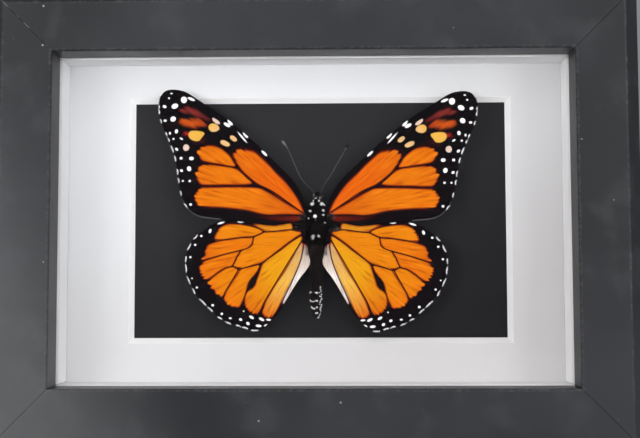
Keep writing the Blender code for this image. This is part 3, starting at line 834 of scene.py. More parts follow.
HINDWING_SPOTS = [
    (21.8, -1.15, 1.7, 0.5, 0), (27.5, -1.6, 2.0, 0.5, -18), (30.6, -4.0, 1.2, 0.7, 110),
    (33.1, -5.5, 0.65, 0.6, 0), (34.8, -8.1, 0.65, 0.6, 0), (36.1, -11.7, 0.65, 0.6, 0),
    (35.4, -17.8, 0.45, 0.4, 0), (33.9, -20.4, 0.6, 0.6, 0), (29.2, -25.4, 0.75, 0.7, 0),
    (26.5, -27.8, 0.7, 0.65, 0), (24.0, -29.0, 0.8, 0.5, 0), (21.0, -29.3, 0.9, 0.7, 25),
    (18.9, -30.4, 1.0, 0.8, 35), (20.2, -26.9, 0.45, 0.4, 0), (17.9, -28.6, 1.4, 0.7, 30),
    (15.0, -29.1, 1.6, 0.7, 28), (12.9, -29.2, 1.5, 0.5, 5), (15.8, -31.0, 1.6, 0.7, 5),
    (13.7, -30.8, 1.1, 0.5, -25),
]
HINDWING_DARKS = [
    (18.05, -18.6, 4.2, 1.9, -66), (17.0, -16.6, 3.4, 1.0, -66), (18.9, -20.4, 2.6, 0.9, -60),
]
HINDWING_DASHES = [
    (34.6, -5.9, 1.6), (36.4, -8.8, 1.9), (37.1, -12.2, 1.5), (37.0, -14.9, 2.2),
    (36.2, -18.3, 2.2), (34.7, -21.4, 1.9), (32.0, -24.5, 2.4), (29.8, -26.6, 1.9),
    (27.0, -28.9, 1.6), (24.6, -30.2, 1.7), (21.6, -31.0, 1.4), (19.6, -31.5, 1.8),
    (16.8, -32.3, 1.8),
]
HINDWING_VEINS = [
    [(5.0, -3.5), (8.0, -3.1), (12.0, -3.7), (14.8, -3.85), (17.0, -2.8), (22.0, -1.7),
     (27.6, -1.6)],
    [(14.8, -3.85), (17.9, -5.35), (22.6, -5.85), (27.4, -6.65), (30.5, -7.4), (35.6, -7.9)],
    [(17.9, -5.35), (18.5, -8.0), (21.4, -9.3), (26.2, -10.65), (31.0, -12.2), (37.1, -14.4)],
    [(21.4, -9.3), (22.6, -11.3), (23.8, -13.9), (25.8, -14.6), (28.4, -16.4), (31.0, -18.4),
     (35.0, -20.7)],
    [(4.2, -4.6), (8.3, -7.4), (13.3, -11.4), (15.7, -13.1), (19.0, -14.0), (22.0, -14.8),
     (23.8, -13.9)],
    [(22.0, -14.8), (23.8, -18.2), (26.2, -22.6), (28.6, -27.6)],
    [(15.7, -13.1), (16.9, -16.6), (19.2, -20.4), (20.5, -25.0), (21.2, -31.0)],
    [(3.9, -6.1), (8.0, -13.0), (12.0, -20.0), (14.9, -25.6), (16.2, -31.6)],
    [(3.4, -7.8), (4.2, -12.0), (5.7, -16.2), (7.3, -19.8), (9.0, -23.6), (10.5, -26.5),
     (12.0, -28.9)],
]
print("forewing cells:", len(FOREWING_CELLS), "hindwing cells:", len(HINDWING_CELLS))


# %% [markdown]
# ## Curves, distances and triangles
#
# Three small tools turn the drawings into meshes. One runs a smooth curve through points, one
# measures how far points are inside a closed curve, and one fills an outline with even triangles
# whose edges follow the outline and the veins (a constrained Delaunay mesh).

# %% Curve and distance tools
def smooth_line(points, gap, closed=False):
    """Points about gap apart on a curve through the given ones (Catmull-Rom)."""
    known = np.array(points, float)
    count = len(known)
    if closed:
        padded = np.vstack([known[-1:], known, known[:2]])
    else:
        padded = np.vstack([2 * known[0] - known[1], known, 2 * known[-1] - known[-2]])
    made = []
    for i in range(count if closed else count - 1):
        a, b, c, d = padded[i:i + 4]
        steps = max(1, int(round(np.linalg.norm(c - b) / gap)))
        t = (np.arange(steps) / steps)[:, None]
        made.append(0.5 * (2 * b + (c - a) * t + (2 * a - 5 * b + 4 * c - d) * t * t
                           + (3 * b - a - 3 * c + d) * t ** 3))
    if not closed:
        made.append(known[-1:])
    return np.vstack(made)


def line_distance(spots, line, closed=False):
    """Distance from each spot to the nearest point of a polyline."""
    ends = np.roll(line, -1, axis=0) if closed else line[1:]
    best = np.full(len(spots), 1e9)
    for start, end in zip(line, ends):
        run = end - start
        share = np.clip((spots - start) @ run / max(run @ run, 1e-12), 0, 1)
        best = np.minimum(best, np.linalg.norm(spots - start - share[:, None] * run, axis=1))
    return best


def inside_distance(spots, loop):
    """Distance to a closed curve: above 0 inside it and below 0 outside."""
    inside = np.zeros(len(spots), bool)
    for (ax, az), (bx, bz) in zip(loop, np.roll(loop, -1, axis=0)):
        spans = (az > spots[:, 1]) != (bz > spots[:, 1])
        cross = ax + (spots[:, 1] - az) * (bx - ax) / (bz - az if bz != az else 1e-12)
        inside ^= spans & (spots[:, 0] < cross)
    return np.where(inside, 1, -1) * line_distance(spots, loop, closed=True)


def spot_depth(spots, x, z, length, width, turn):
    """How deep each spot is in an ellipse, in about the same units as a distance."""
    angle = math.radians(turn)
    along = (spots[:, 0] - x) * math.cos(angle) + (spots[:, 1] - z) * math.sin(angle)
    across = (spots[:, 1] - z) * math.cos(angle) - (spots[:, 0] - x) * math.sin(angle)
    return (1 - np.hypot(along / (length / 2), across / (width / 2))) * width / 2


# %% Filling an outline with triangles
GRID = 0.30


def filled(loop, lines, extra):
    """(points, triangles) inside the loop, with edges along the loop and the lines."""
    low, high = loop.min(0), loop.max(0)
    rows = np.arange(low[1], high[1], GRID * 0.866)
    grid = np.array([(x + (GRID / 2 if r % 2 else 0), z) for r, z in enumerate(rows)
                     for x in np.arange(low[0], high[0], GRID)])
    fixed = np.vstack([*lines, extra])
    fixed = fixed[inside_distance(fixed, loop) > 0.12]
    grid = grid[inside_distance(grid, loop) > GRID * 0.45]
    for line in lines:
        grid = grid[line_distance(grid, line) > GRID * 0.42]
    for spot in extra:
        grid = grid[np.hypot(*(grid - spot).T) > GRID * 0.42]
    points = [tuple(p) for p in loop]
    edges = [(i, (i + 1) % len(loop)) for i in range(len(loop))]
    for line in lines:
        kept = line[inside_distance(line, loop) > 0.12]
        first = len(points)
        points += [tuple(p) for p in kept]
        edges += [(i, i + 1) for i in range(first, len(points) - 1)]
    inner = [p for p in extra if any(np.hypot(*(fixed - p).T) < 1e-6)]
    points += [tuple(p) for p in inner] + [tuple(p) for p in grid]
    made = delaunay_2d_cdt([Vector(p) for p in points], edges, [], 1, 1e-4)
    return np.array([tuple(v) for v in made[0]]), [tuple(f) for f in made[2]]


def rings_round(spots):
    """Extra mesh points at and around each small spot, which keep its edge round."""
    made = []
    for x, z, length, width, turn in spots:
        angle = math.radians(turn)
        steps = 6 if length < 1.0 else 10
        for share in (0.0, 1.0, 1.5):
            for i in range(steps if share else 1):
                a = 2 * math.pi * i / steps
                u, v = share * length / 2 * math.cos(a), share * width / 2 * math.sin(a)
                made.append((x + u * math.cos(angle) - v * math.sin(angle),
                             z + u * math.sin(angle) + v * math.cos(angle)))
    kept = []
    for spot in made:
        if all(math.dist(spot, other) > 0.1 for other in kept):
            kept.append(spot)
    return np.array(kept)


def with_dashes(spots, dashes, loop):
    """The spots plus one flat spot for each dash, turned along the margin beside it."""
    made = list(spots)
    for x, z, length in dashes:
        near = int(np.argmin(np.hypot(*(loop - (x, z)).T)))
        ahead, behind = loop[(near + 2) % len(loop)], loop[near - 2]
        turn = math.degrees(math.atan2(*(ahead - behind)[::-1]))
        made.append((*loop[near], length * 0.88, 0.42, turn))
    return made


# %% [markdown]
# ## The wing sheet
#
# A wing is two skins a hair apart, joined along the margin. It is not flat: the veins are the
# ribs, and the membrane between them sinks a little, so light moves over each cell. The left wing
# is the right one mirrored, turned by the degree and a half that separates them on the card.

# %% One wing, with everything the shader needs to know
WING_SKIN = 0.08
WING_LEAN = math.radians(0.8)
SAG = 0.16
MARGIN_CURL = 0.12


def stops(share, pigments):
    """Linear colours along the named pigments, evenly spread from share 0 to 1."""
    table = np.array([paint(*PIGMENT[word]) for word in pigments.split()])
    places = np.linspace(0, 1, len(table))
    return np.stack([np.interp(share, places, table[:, k]) for k in range(3)], 1)


def measured(spots, loop, root, cells, blushes, marks, darks, veins):
    """The attributes of a wing at each mesh point."""
    reach = np.hypot(spots[:, 0] - root[0], spots[:, 1] - root[1])
    turn = np.arctan2(spots[:, 1] - root[1] * 1.2, spots[:, 0] - root[0] + 3.0)
    made = {name: np.full(len(spots), -9.0) for name in
            ("cells_a", "cells_b", "cells_c", "cells_pale")}
    made["outer"] = np.zeros(len(spots))
    nearest = np.full(len(spots), -9.0)
    tint = np.zeros((len(spots), 3))
    for layer, colours, outline in cells:
        edge = smooth_line(outline, 0.5, closed=True)
        depth = inside_distance(spots, edge)
        made["cells_" + layer] = np.maximum(made["cells_" + layer], depth)
        far = np.hypot(edge[:, 0] - root[0], edge[:, 1] - root[1])
        share = (reach - far.min()) / (far.max() - far.min())
        chosen = depth > nearest
        tint[chosen] = stops(share, colours)[chosen]
        made["outer"][chosen] = share[chosen]
        nearest = np.maximum(nearest, depth)
    made["blush"] = np.full(len(spots), -9.0)
    warm = np.zeros((len(spots), 3))
    for colours, outline in blushes:
        edge = smooth_line(outline, 0.5, closed=True)
        depth = inside_distance(spots, edge)
        far = np.hypot(edge[:, 0] - root[0], edge[:, 1] - root[1])
        share = (reach - far.min()) / (far.max() - far.min())
        chosen = depth > made["blush"]
        warm[chosen] = stops(share, colours)[chosen]
        made["blush"] = np.maximum(made["blush"], depth)
    made["dark"] = np.max([spot_depth(spots, *mark) for mark in darks], axis=0)
    made["spots"] = np.max([spot_depth(spots, *mark) for mark in marks], axis=0)
    made["vein"] = np.min([line_distance(spots, vein) for vein in veins], axis=0)
    made["margin"] = line_distance(spots, loop, closed=True)
    made["tint"] = tint * 0.80
    made["warm"] = warm
    made["ray"] = np.stack([reach, turn * 24.0, np.zeros(len(spots))], 1)
    return made


def relief(facts):
    """How far each point stands towards the glass, in millimetres."""
    rib = np.exp(-(facts["vein"] / 0.9) ** 2)
    leading = np.exp(-(facts["margin"] / 0.6) ** 2) * 0.6
    wave = 0.10 * np.sin(facts["ray"][:, 1] * 0.55) * np.clip(facts["ray"][:, 0] / 20, 0, 1)
    curl = MARGIN_CURL * np.clip(1 - facts["margin"] / 3.0, 0, 1) ** 2
    return SAG * np.maximum(rib, leading) + wave - curl


def to_frame(spots, depth, root, side, turn):
    """Wing millimetres to metres in the frame: mirrored, turned about the root and leant."""
    shift = 0.27 + (0.01 if side < 0 else 0.0)
    c, s = math.cos(turn), math.sin(turn)
    x, z = spots[:, 0] - root[0], spots[:, 1] - root[1]
    out = root[0] + c * x - s * z
    up = root[1] + s * x + c * z
    near = depth - math.sin(WING_LEAN) * (out - root[0])
    return np.stack([ORIGIN.x + side * (out + shift) * MM, ORIGIN.y + near * MM,
                     ORIGIN.z + up * MM], 1)


print("wing tools ready, grid of", GRID, "mm")

# %% [markdown]
# ## Wing colours
#
# A wing is covered in rows of scales a tenth of a millimetre long, each of one colour. The shader
# gives every scale its own shade and a small tilt, and adds the fine rays that fan out from the
# root. The cell distances are shaken a little by noise before they are cut, because a row of
# scales ends raggedly.

# %% Scales
BLACK_SCALE = (0.002, 0.0016, 0.003)
BROWN_SCALE = (0.005, 0.0022, 0.0026)
RIM = (0.26, 0.018, 0.004)
PALE_RIM = (0.16, 0.13, 0.125)
VEIN_TONE = (0.016, 0.003, 0.0025)


def wing_finish(name, grow, rib):
    """Scales of a wing. grow is how far the bright cells spread past their drawn outlines, and rib
    is half the width of the dark line along a vein, both in mm."""
    scale = Finish(name, BLACK_SCALE, 0.62)
    scale.set(Specular_IOR_Level=0.04)
    ray = scale.known("ray", "Vector")
    rows = scale.node("VectorMath", {"operation": "MULTIPLY"}, {0: ray, 1: (8.0, 13.0, 1.0)})
    fan = scale.node("VectorMath", {"operation": "MULTIPLY"}, {0: ray, 1: (0.16, 1.6, 1.0)})
    ragged = scale.noise(1.0, 2.0, vector=rows)
    streak = scale.noise(1.0, 4.0, vector=fan)
    each = scale.cells(1.0, "Color", vector=rows)
    shade = scale.node("SeparateColor", None, {0: each}, output=0)
    edge = scale.cells(1.0, "Distance", vector=rows)
    tip = scale.known("outer").step(0.80, 1.02)
    shake = (streak - 0.5) * 3.2 * tip
    depth = scale.known("cells_a").most(scale.known("cells_b")).most(scale.known("cells_c"))
    inside = depth + grow * (1 - tip * 0.8) + shake * depth.step(-0.7, -0.1) + (ragged - 0.5) * 0.12
    black = scale.mix(streak.step(0.35, 0.7), BLACK_SCALE, BROWN_SCALE)
    tint = scale.known("tint", "Color")
    bright = scale.mix(streak.step(0.50, 0.70) * 0.40, tint, (0.84, 0.30, 0.014))
    bright = scale.mix((1 - streak.step(0.32, 0.47)) * 0.62, bright, (0.34, 0.05, 0.002))
    blue = scale.node("SeparateColor", None, {0: tint}, output=2)
    rim = scale.mix(blue.step(0.15, 0.40), RIM, PALE_RIM)
    rimmed = scale.mix((inside + (ragged - 0.5) * 0.3).step(0.0, 0.55), rim, bright)
    blush = (scale.known("blush") + (ragged - 0.5) * 0.8 + (streak - 0.5) * 2.6).step(-0.4, 0.9)
    tone = scale.mix(blush, black, scale.known("warm", "Color"))
    tone = scale.mix(inside.step(-0.18, 0.10), tone, rimmed)
    ribs = 1 - (scale.known("vein") + (ragged - 0.5) * 0.12).step(0.08, rib)
    tone = scale.mix(ribs * depth.step(-1.2, -0.6), tone, VEIN_TONE)
    scent = (scale.known("dark") + (streak - 0.5) * 0.5).step(-0.08, 0.22)
    tone = scale.mix(scent, tone, (0.006, 0.003, 0.003))
    pale = scale.known("cells_pale") + (ragged - 0.5) * 0.12
    tone = scale.mix(pale.step(-0.12, 0.14), tone, tint)
    white = (scale.known("spots") + (ragged - 0.5) * 0.10).step(-0.10, 0.06)
    tone = scale.mix(white, tone, (0.97, 0.96, 0.97))
    tone = scale.mix(shade * 0.12, tone, (0.0, 0.0, 0.0))
    scale.set(Base_Color=tone, Roughness=0.5 + shade * 0.25)
    return scale.bump(shade * 0.5 - edge * 0.6 + streak * 1.2, 0.03 * MM, 0.55)


forewing_scales = wing_finish("forewing_scales", 0.24, 0.34)
hindwing_scales = wing_finish("hindwing_scales", 0.24, 0.26)


# %% [markdown]
# ## Wings as meshes
#
# The forewings lie over the hindwings, so each pair has its own depth and the hindwing is set a
# little further back. Both wings of a pair come from one drawing.

# %% Build the four wings
FOREWING_ROOT = (4.0, 1.0)
HINDWING_ROOT = (4.7, -4.8)
FOREWING_DEPTH = -0.5
HINDWING_DEPTH = 0.35
LEFT_TURN = math.radians(1.5)
SIDES = (("left", -1), ("right", 1))


def wing_sheet(outline, cells, blushes, spots, darks, dashes, veins, root):
    """The drawing as points, triangles, facts at the points, and the curves it came from."""
    loop = smooth_line(outline, GRID * 1.1, closed=True)
    lines = [smooth_line(vein, GRID * 1.2) for vein in veins]
    marks = with_dashes(spots, dashes, loop)
    points, faces = filled(loop, lines, rings_round(spots))
    facts = measured(points, loop, root, cells, blushes, marks, darks, lines)
    return {"points": points, "faces": faces, "facts": facts, "loop": loop, "veins": lines,
            "dashes": dashes, "root": root}


def wing_piece(name, sheet, depth, side, finish, slot, node):
    """Two skins joined along the margin."""
    turn = LEFT_TURN if side < 0 else 0.0
    height = relief(sheet["facts"])
    front = to_frame(sheet["points"], depth - height, sheet["root"], side, turn)
    back = to_frame(sheet["points"], depth - height + WING_SKIN, sheet["root"], side, turn)
    count = len(front)
    faces = list(sheet["faces"]) + [tuple(count + i for i in f[::-1]) for f in sheet["faces"]]
    rim = {}
    for face in sheet["faces"]:
        for a, b in zip(face, face[1:] + face[:1]):
            rim[(a, b)] = (b, a) not in rim and (a, b)
            if (b, a) in rim:
                rim[(a, b)] = rim[(b, a)] = False
    faces += [(b, a, count + a, count + b) for (a, b), kept in rim.items() if kept]
    piece = mesh_piece(name, np.vstack([front, back]), faces, [finish])
    for word, values in sheet["facts"].items():
        store(piece.data, word, np.concatenate([values, values]))
    return attach(piece, slot, node)


forewing_sheet = wing_sheet(FOREWING, FOREWING_CELLS, FOREWING_BLUSHES, FOREWING_SPOTS,
                            FOREWING_DARKS, FOREWING_DASHES, FOREWING_VEINS, FOREWING_ROOT)
hindwing_sheet = wing_sheet(HINDWING, HINDWING_CELLS, HINDWING_BLUSHES, HINDWING_SPOTS,
                            HINDWING_DARKS, HINDWING_DASHES, HINDWING_VEINS, HINDWING_ROOT)
for word, side in SIDES:
    wing_piece(f"forewing_scaled_{word}", forewing_sheet, FOREWING_DEPTH, side, forewing_scales,
               "forewing", f"forewing_{word}")
    wing_piece(f"hindwing_scaled_{word}", hindwing_sheet, HINDWING_DEPTH, side, hindwing_scales,
               "hindwing", f"hindwing_{word}")


# %% [markdown]
# ## Growing what repeats
#
# Veins, fringe and hair are many small copies of one shape, or one section swept along many
# lines, so Geometry Nodes make them. Grower builds such a tree: its sizes are named inputs, and
# it always ends by realizing the copies and setting the material.

# %% A Geometry Nodes tree
class Grower(Tree):
    def __init__(self, name, **sizes):
        self.tree = bpy.data.node_groups.new(name, "GeometryNodeTree")
        add = self.tree.interface.new_socket
        add("Geometry", in_out="OUTPUT", socket_type="NodeSocketGeometry")
        add("Geometry", in_out="INPUT", socket_type="NodeSocketGeometry")
        self.keys = {"Finish": add("Finish", in_out="INPUT",
                                   socket_type="NodeSocketMaterial").identifier}
        for word, value in sizes.items():
            kind = "NodeSocketInt" if isinstance(value, int) else "NodeSocketFloat"
            made = add(word, in_out="INPUT", socket_type=kind)
            made.default_value = value
            self.keys[word] = made.identifier
        self.entry = self.tree.nodes.new("NodeGroupInput")

    def given(self, name):
        return Wire(self, self.entry.outputs[name])

    def read(self, name, kind="FLOAT"):
        """An attribute of the geometry."""
        return self.node("GeometryNodeInputNamedAttribute", {"data_type": kind}, {"Name": name})

    def end(self, geometry):
        real = self.node("GeometryNodeRealizeInstances", None, {"Geometry": geometry})
        sockets = {"Geometry": real, "Material": self.given("Finish")}
        made = self.node("GeometryNodeSetMaterial", None, sockets)
        self.tree.links.new(made.socket, self.tree.nodes.new("NodeGroupOutput").inputs[0])
        return self

    def grow(self, name, base, finish, **sizes):
        """Runs the tree on a base object and keeps the result as a plain mesh."""
        modifier = base.modifiers.new("grower", "NODES")
        modifier.node_group = self.tree
        modifier[self.keys["Finish"]] = finish.material
        for word, value in sizes.items():
            modifier[self.keys[word]] = value
        graph = bpy.context.evaluated_depsgraph_get()
        mesh = bpy.data.meshes.new_from_object(base.evaluated_get(graph))
        base.modifiers.remove(modifier)
        mesh.name = name
        return new_object(name, mesh)


def guide(lines, closed=False, **facts):
    """A helper object of bare edges. facts are lists with one value for each point."""
    points = np.vstack(lines)
    edges, first = [], 0
    for line in lines:
        edges += [(first + i, first + i + 1) for i in range(len(line) - 1)]
        edges += [(first + len(line) - 1, first)] if closed else []
        first += len(line)
    mesh = bpy.data.meshes.new("guide")
    mesh.from_pydata([tuple(p) for p in points], edges, [])
    for name, values in facts.items():
        store(mesh, name, values)
    return new_object("guide", mesh)


# %% [markdown]
# ## Tubes
#
# Veins, antennae, legs, palps and the coiled tongue are all tapered tubes. A guide of bare edges
# carries the radius at each point, and Curve to Mesh sweeps a small circle along it.

# %% Tube tree
def tube_tree():
    tree = Grower("tapered_tubes", Sides=8)
    curve = tree.node("GeometryNodeMeshToCurve", None, {"Mesh": tree.given("Geometry")})
    curve = tree.node("GeometryNodeSetCurveRadius", None,
                      {"Curve": curve, "Radius": tree.read("girth")})
    ring = tree.node("GeometryNodeCurvePrimitiveCircle", None,
                     {"Resolution": tree.given("Sides"), "Radius": 1.0})
    tubes = tree.node("GeometryNodeCurveToMesh", None, {
        "Curve": curve, "Profile Curve": ring, "Fill Caps": True, "Scale": tree.read("girth")})
    return tree.end(tree.node("GeometryNodeSetShadeSmooth", None, {"Geometry": tubes}))


tube_maker = tube_tree()


def tubes(name, lines, girths, finish, sides=8, **facts):
    """One piece made of tubes along lines of points in the frame."""
    base = guide(lines, girth=np.concatenate(girths), **facts)
    piece = tube_maker.grow(name, base, finish, Sides=sides)
    bpy.data.objects.remove(base)
    return piece


def horn_finish(name, low, high, roughness):
    """Dark horn, the stuff of an insect's skin: glossy, pitted and uneven."""
    horn = Finish(name, low, roughness, Specular_IOR_Level=0.2)
    patch = horn.noise(900.0, 4.0)
    pit = horn.cells(9000.0)
    horn.set(Base_Color=horn.mix(patch.step(0.35, 0.7), low, high),
             Roughness=roughness + patch * 0.2 - 0.1)
    return horn.bump(patch + pit * 0.5, 0.02 * MM, 0.6)


horn = horn_finish("dark_horn", (0.004, 0.003, 0.003), (0.012, 0.008, 0.007), 0.45)


# %% Veins on the wings
VEIN_ROOT = 0.14
VEIN_TIP = 0.05


def vein_piece(word, side, name, sheet, depth, finish, slot):
    """The veins stand as half-buried tubes that thin out towards the margin. They are clothed in
    the wing's own scales, so they carry its facts."""
    turn = LEFT_TURN if side < 0 else 0.0
    lines, girths, places = [], [], []
    for vein in sheet["veins"]:
        kept = vein[inside_distance(vein, sheet["loop"]) > 0.35]
        near = [int(np.argmin(np.hypot(*(sheet["points"] - p).T))) for p in kept]
        places += near
        height = relief({k: v[near] for k, v in sheet["facts"].items()})
        lines.append(to_frame(kept, depth - height, sheet["root"], side, turn))
        run = np.hypot(kept[:, 0], kept[:, 1] - sheet["root"][1]) / 46
        girths.append(np.interp(run, [0, 1], [VEIN_ROOT, VEIN_TIP]) * MM)
    facts = {k: v[places] for k, v in sheet["facts"].items()}
    piece = tubes(f"{name}_veins_{word}", lines, girths, finish, 6, **facts)
    return attach(piece, slot)


for word, side in SIDES:
    vein_piece(word, side, "forewing", forewing_sheet, FOREWING_DEPTH, forewing_scales, "forewing")
    vein_piece(word, side, "hindwing", hindwing_sheet, HINDWING_DEPTH, hindwing_scales, "hindwing")


# %% [markdown]
# ## Fringe
#
# The margin carries a comb of long narrow scales, black with white gaps. Each is one thin lozenge
# set on the outline, pointing outwards, with a little random turn and length.

# %% Fringe tree
def fringe_tree():
    tree = Grower("fringe", Gap=0.11 * MM, Length=0.42 * MM, Width=0.12 * MM, Seed=3)
    curve = tree.node("GeometryNodeMeshToCurve", None, {"Mesh": tree.given("Geometry")})
    points = tree.node("GeometryNodeResampleCurve", {"mode": "LENGTH"},
                       {"Curve": curve, "Length": tree.given("Gap")})
    scale = tree.node("GeometryNodeMeshCone", None, {
        "Vertices": 4, "Side Segments": 2, "Radius Top": 0.15, "Radius Bottom": 0.5,
        "Depth": 1.0})
    jitter = tree.node("FunctionNodeRandomValue", {"data_type": "FLOAT"},
                       {2: 0.6, 3: 1.15, "Seed": tree.given("Seed")}, 1)
    turn = tree.node("FunctionNodeRandomValue", {"data_type": "FLOAT_VECTOR"},
                     {0: (-0.25, -0.25, -0.25), 1: (0.25, 0.25, 0.25)}, 0)
    aim = tree.node("VectorMath", {"operation": "ADD"},
                    {0: tree.read("outwards", "FLOAT_VECTOR"), 1: turn})
    facing = tree.node("FunctionNodeAlignRotationToVector", {"axis": "Z"}, {"Vector": aim})
    flat = tree.node("FunctionNodeAlignRotationToVector", {"axis": "Y", "pivot_axis": "Z"},
                     {"Rotation": facing, "Vector": (0, 1, 0)})
    size = tree.node("CombineXYZ", None, {
        0: tree.given("Width"), 1: tree.given("Width") * 0.3, 2: tree.given("Length") * jitter})
    made = tree.node("GeometryNodeInstanceOnPoints", None, {
        "Points": points, "Instance": scale, "Rotation": flat, "Scale": size})
    return tree.end(made)


def fringe_finish():
    fringe = Finish("fringe_scales", BLACK_SCALE, 0.6, Specular_IOR_Level=0.08)
    hair = fringe.noise(6000.0, 2.0)
    dark = fringe.mix(hair.step(0.4, 0.7), BLACK_SCALE, BROWN_SCALE)
    light = fringe.mix(hair.step(0.3, 0.7), (0.72, 0.71, 0.74), (0.86, 0.86, 0.88))
    fringe.set(Base_Color=fringe.mix(fringe.known("white").step(0.35, 0.65), dark, light))
    return fringe.bump(hair, 0.01 * MM, 0.4)


fringe_maker = fringe_tree()
fringe_scales = fringe_finish()


def fringe_piece(word, side, name, sheet, depth, slot, first, last):
    """The fringe along the outer margin, between two points of the outline."""
    turn = LEFT_TURN if side < 0 else 0.0
    loop = sheet["loop"]
    start, stop = [int(np.argmin(np.hypot(*(loop - p).T))) for p in (first, last)]
    flat = loop[start:stop]
    ahead = np.roll(loop, -1, axis=0)[start:stop] - np.roll(loop, 1, axis=0)[start:stop]
    outwards = np.stack([ahead[:, 1], -ahead[:, 0]], 1)
    outwards /= np.linalg.norm(outwards, axis=1)[:, None]
    if inside_distance((flat + 0.2 * outwards)[:5], loop).mean() > 0:
        outwards = -outwards
    line = to_frame(flat - 0.12 * outwards, depth + MARGIN_CURL - SAG * 0.6 + 0.04,
                    sheet["root"], side, turn)
    aim = to_frame(flat + outwards, depth, sheet["root"], side, turn)
    aim -= to_frame(flat, depth, sheet["root"], side, turn)
    # Painted highlight: below 5 mm on the forewing the fringe is painted pale grey for the light
    # line along its hind edge. The white dashes added below are real.
    pale = 0.42 if sheet is forewing_sheet else 0.0
    white = np.where(flat[:, 1] < 5.0, pale, 0.0)
    for x, z, length in sheet["dashes"]:
        white = np.maximum(white, np.hypot(*(flat - (x, z)).T) < length / 2 + 0.1)
    base = guide([line], outwards=aim / MM, white=white)
    piece = fringe_maker.grow(f"{name}_fringe_{word}", base, fringe_scales)
    bpy.data.objects.remove(base)
    return attach(piece, slot)


for word, side in SIDES:
    fringe_piece(word, side, "forewing", forewing_sheet, FOREWING_DEPTH, "forewing",
                 (46.0, 34.9), (27, -0.5))
    fringe_piece(word, side, "hindwing", hindwing_sheet, HINDWING_DEPTH, "hindwing", (30.5, -2.5),
                 (9.0, -25.0))


# %% [markdown]
# ## The body
#
# Head, thorax and abdomen are lofted: ellipses stand at stations along the body and a smooth curve
# runs through them. The skin is dull black, and white under the white tufts. Mostly one sees the
# hair on it, so the skins carry two facts for the hair: where it is white, and how long it grows.

# %% Lofted skins
SKIN_STEPS = 80


def lofted(stations, gap=0.14):
    """Rings through stations of (x, y, z, half width, half depth), closed at both ends."""
    rings = smooth_line(stations, gap)
    turns = np.linspace(0, 2 * np.pi, SKIN_STEPS, endpoint=False)
    points = [(x + w * math.cos(a), y + d * math.sin(a), z)
              for x, y, z, w, d in rings for a in turns]
    faces = []
    for i in range(len(rings) - 1):
        for j in range(SKIN_STEPS):
            k = (j + 1) % SKIN_STEPS
            faces.append((i * SKIN_STEPS + j, i * SKIN_STEPS + k, (i + 1) * SKIN_STEPS + k,
                          (i + 1) * SKIN_STEPS + j))
    points += [tuple(rings[0][:3]), tuple(rings[-1][:3])]
    last = (len(rings) - 1) * SKIN_STEPS
    for j in range(SKIN_STEPS):
        k = (j + 1) % SKIN_STEPS
        faces += [(j, k, len(points) - 2), (last + k, last + j, len(points) - 1)]
    return np.array(points), faces


def body_points(points):
    """Body millimetres to metres in the frame."""
    return np.array(ORIGIN) + np.asarray(points) * MM


def body_finish():
    """Dull black skin, with white scales where the tufts stand."""
    skin = Finish("body_skin", (0.002, 0.0016, 0.0018), 0.7, Specular_IOR_Level=0.08)
    patch = skin.noise(900.0, 4.0)
    tone = skin.mix(patch.step(0.35, 0.7), (0.002, 0.0015, 0.0016), (0.007, 0.0045, 0.0045))
    white = (skin.known("white") + (skin.noise(5000.0, 2.0) - 0.5) * 0.5).step(0.4, 0.55)
    skin.set(Base_Color=skin.mix(white, tone, (0.9, 0.9, 0.9)), Roughness=0.6 + patch * 0.2)
    return skin.bump(patch, 0.03 * MM, 0.6)


body_skin = body_finish()


def skin_piece(name, points, faces, tufts, length, finish=body_skin):
    """A body skin that knows its white tufts: (x, z, radius) seen from the front."""
    piece = mesh_piece(name, body_points(points), faces, [finish])
    front = points[:, 1] < points[:, 1].mean() + 0.6
    white = np.zeros(len(points))
    for x, z, radius in tufts:
        near = np.hypot(points[:, 0] - x, points[:, 2] - z)
        white = np.maximum(white, np.clip((radius - near) / 0.12 + 0.5, 0, 1) * front)
    store(piece.data, "white", white)
    store(piece.data, "long", length(points, white))
    return piece


# %% Thorax, head and abdomen
THORAX = [
    (0.15, 1.1, 5.0, 0.9, 0.8), (0.15, 1.0, 4.3, 1.9, 1.5), (0.15, 0.9, 3.0, 2.5, 2.0),
    (0.1, 0.9, 1.0, 2.7, 2.3), (0.1, 0.9, -1.5, 2.75, 2.3), (0.05, 1.0, -4.0, 2.5, 2.1),
    (0.0, 1.1, -6.2, 1.9, 1.8), (-0.05, 1.2, -7.4, 1.2, 1.3)]
HEAD = [
    (0.2, 0.95, 5.1, 0.5, 0.5), (0.2, 0.9, 5.5, 1.1, 1.0), (0.25, 0.8, 6.4, 1.3, 1.2),
    (0.3, 0.8, 7.3, 1.05, 1.0), (0.3, 0.85, 7.9, 0.5, 0.5)]
THORAX_TUFTS = [
    (-1.15, 4.4, 0.42), (1.45, 4.35, 0.44), (2.2, 4.2, 0.2), (-1.75, 2.35, 0.26),
    (1.9, 2.5, 0.28), (2.05, 1.25, 0.16), (1.75, 1.2, 0.14), (-0.85, -4.9, 0.34),
    (0.6, -4.8, 0.24), (-0.9, -5.5, 0.2), (2.35, -1.0, 0.14), (-2.2, 0.3, 0.12)]
HEAD_TUFTS = [(-0.15, 6.2, 0.28), (-0.7, 7.0, 0.16), (-0.95, 5.45, 0.2), (0.7, 5.45, 0.2),
              (0.9, 6.2, 0.14)]
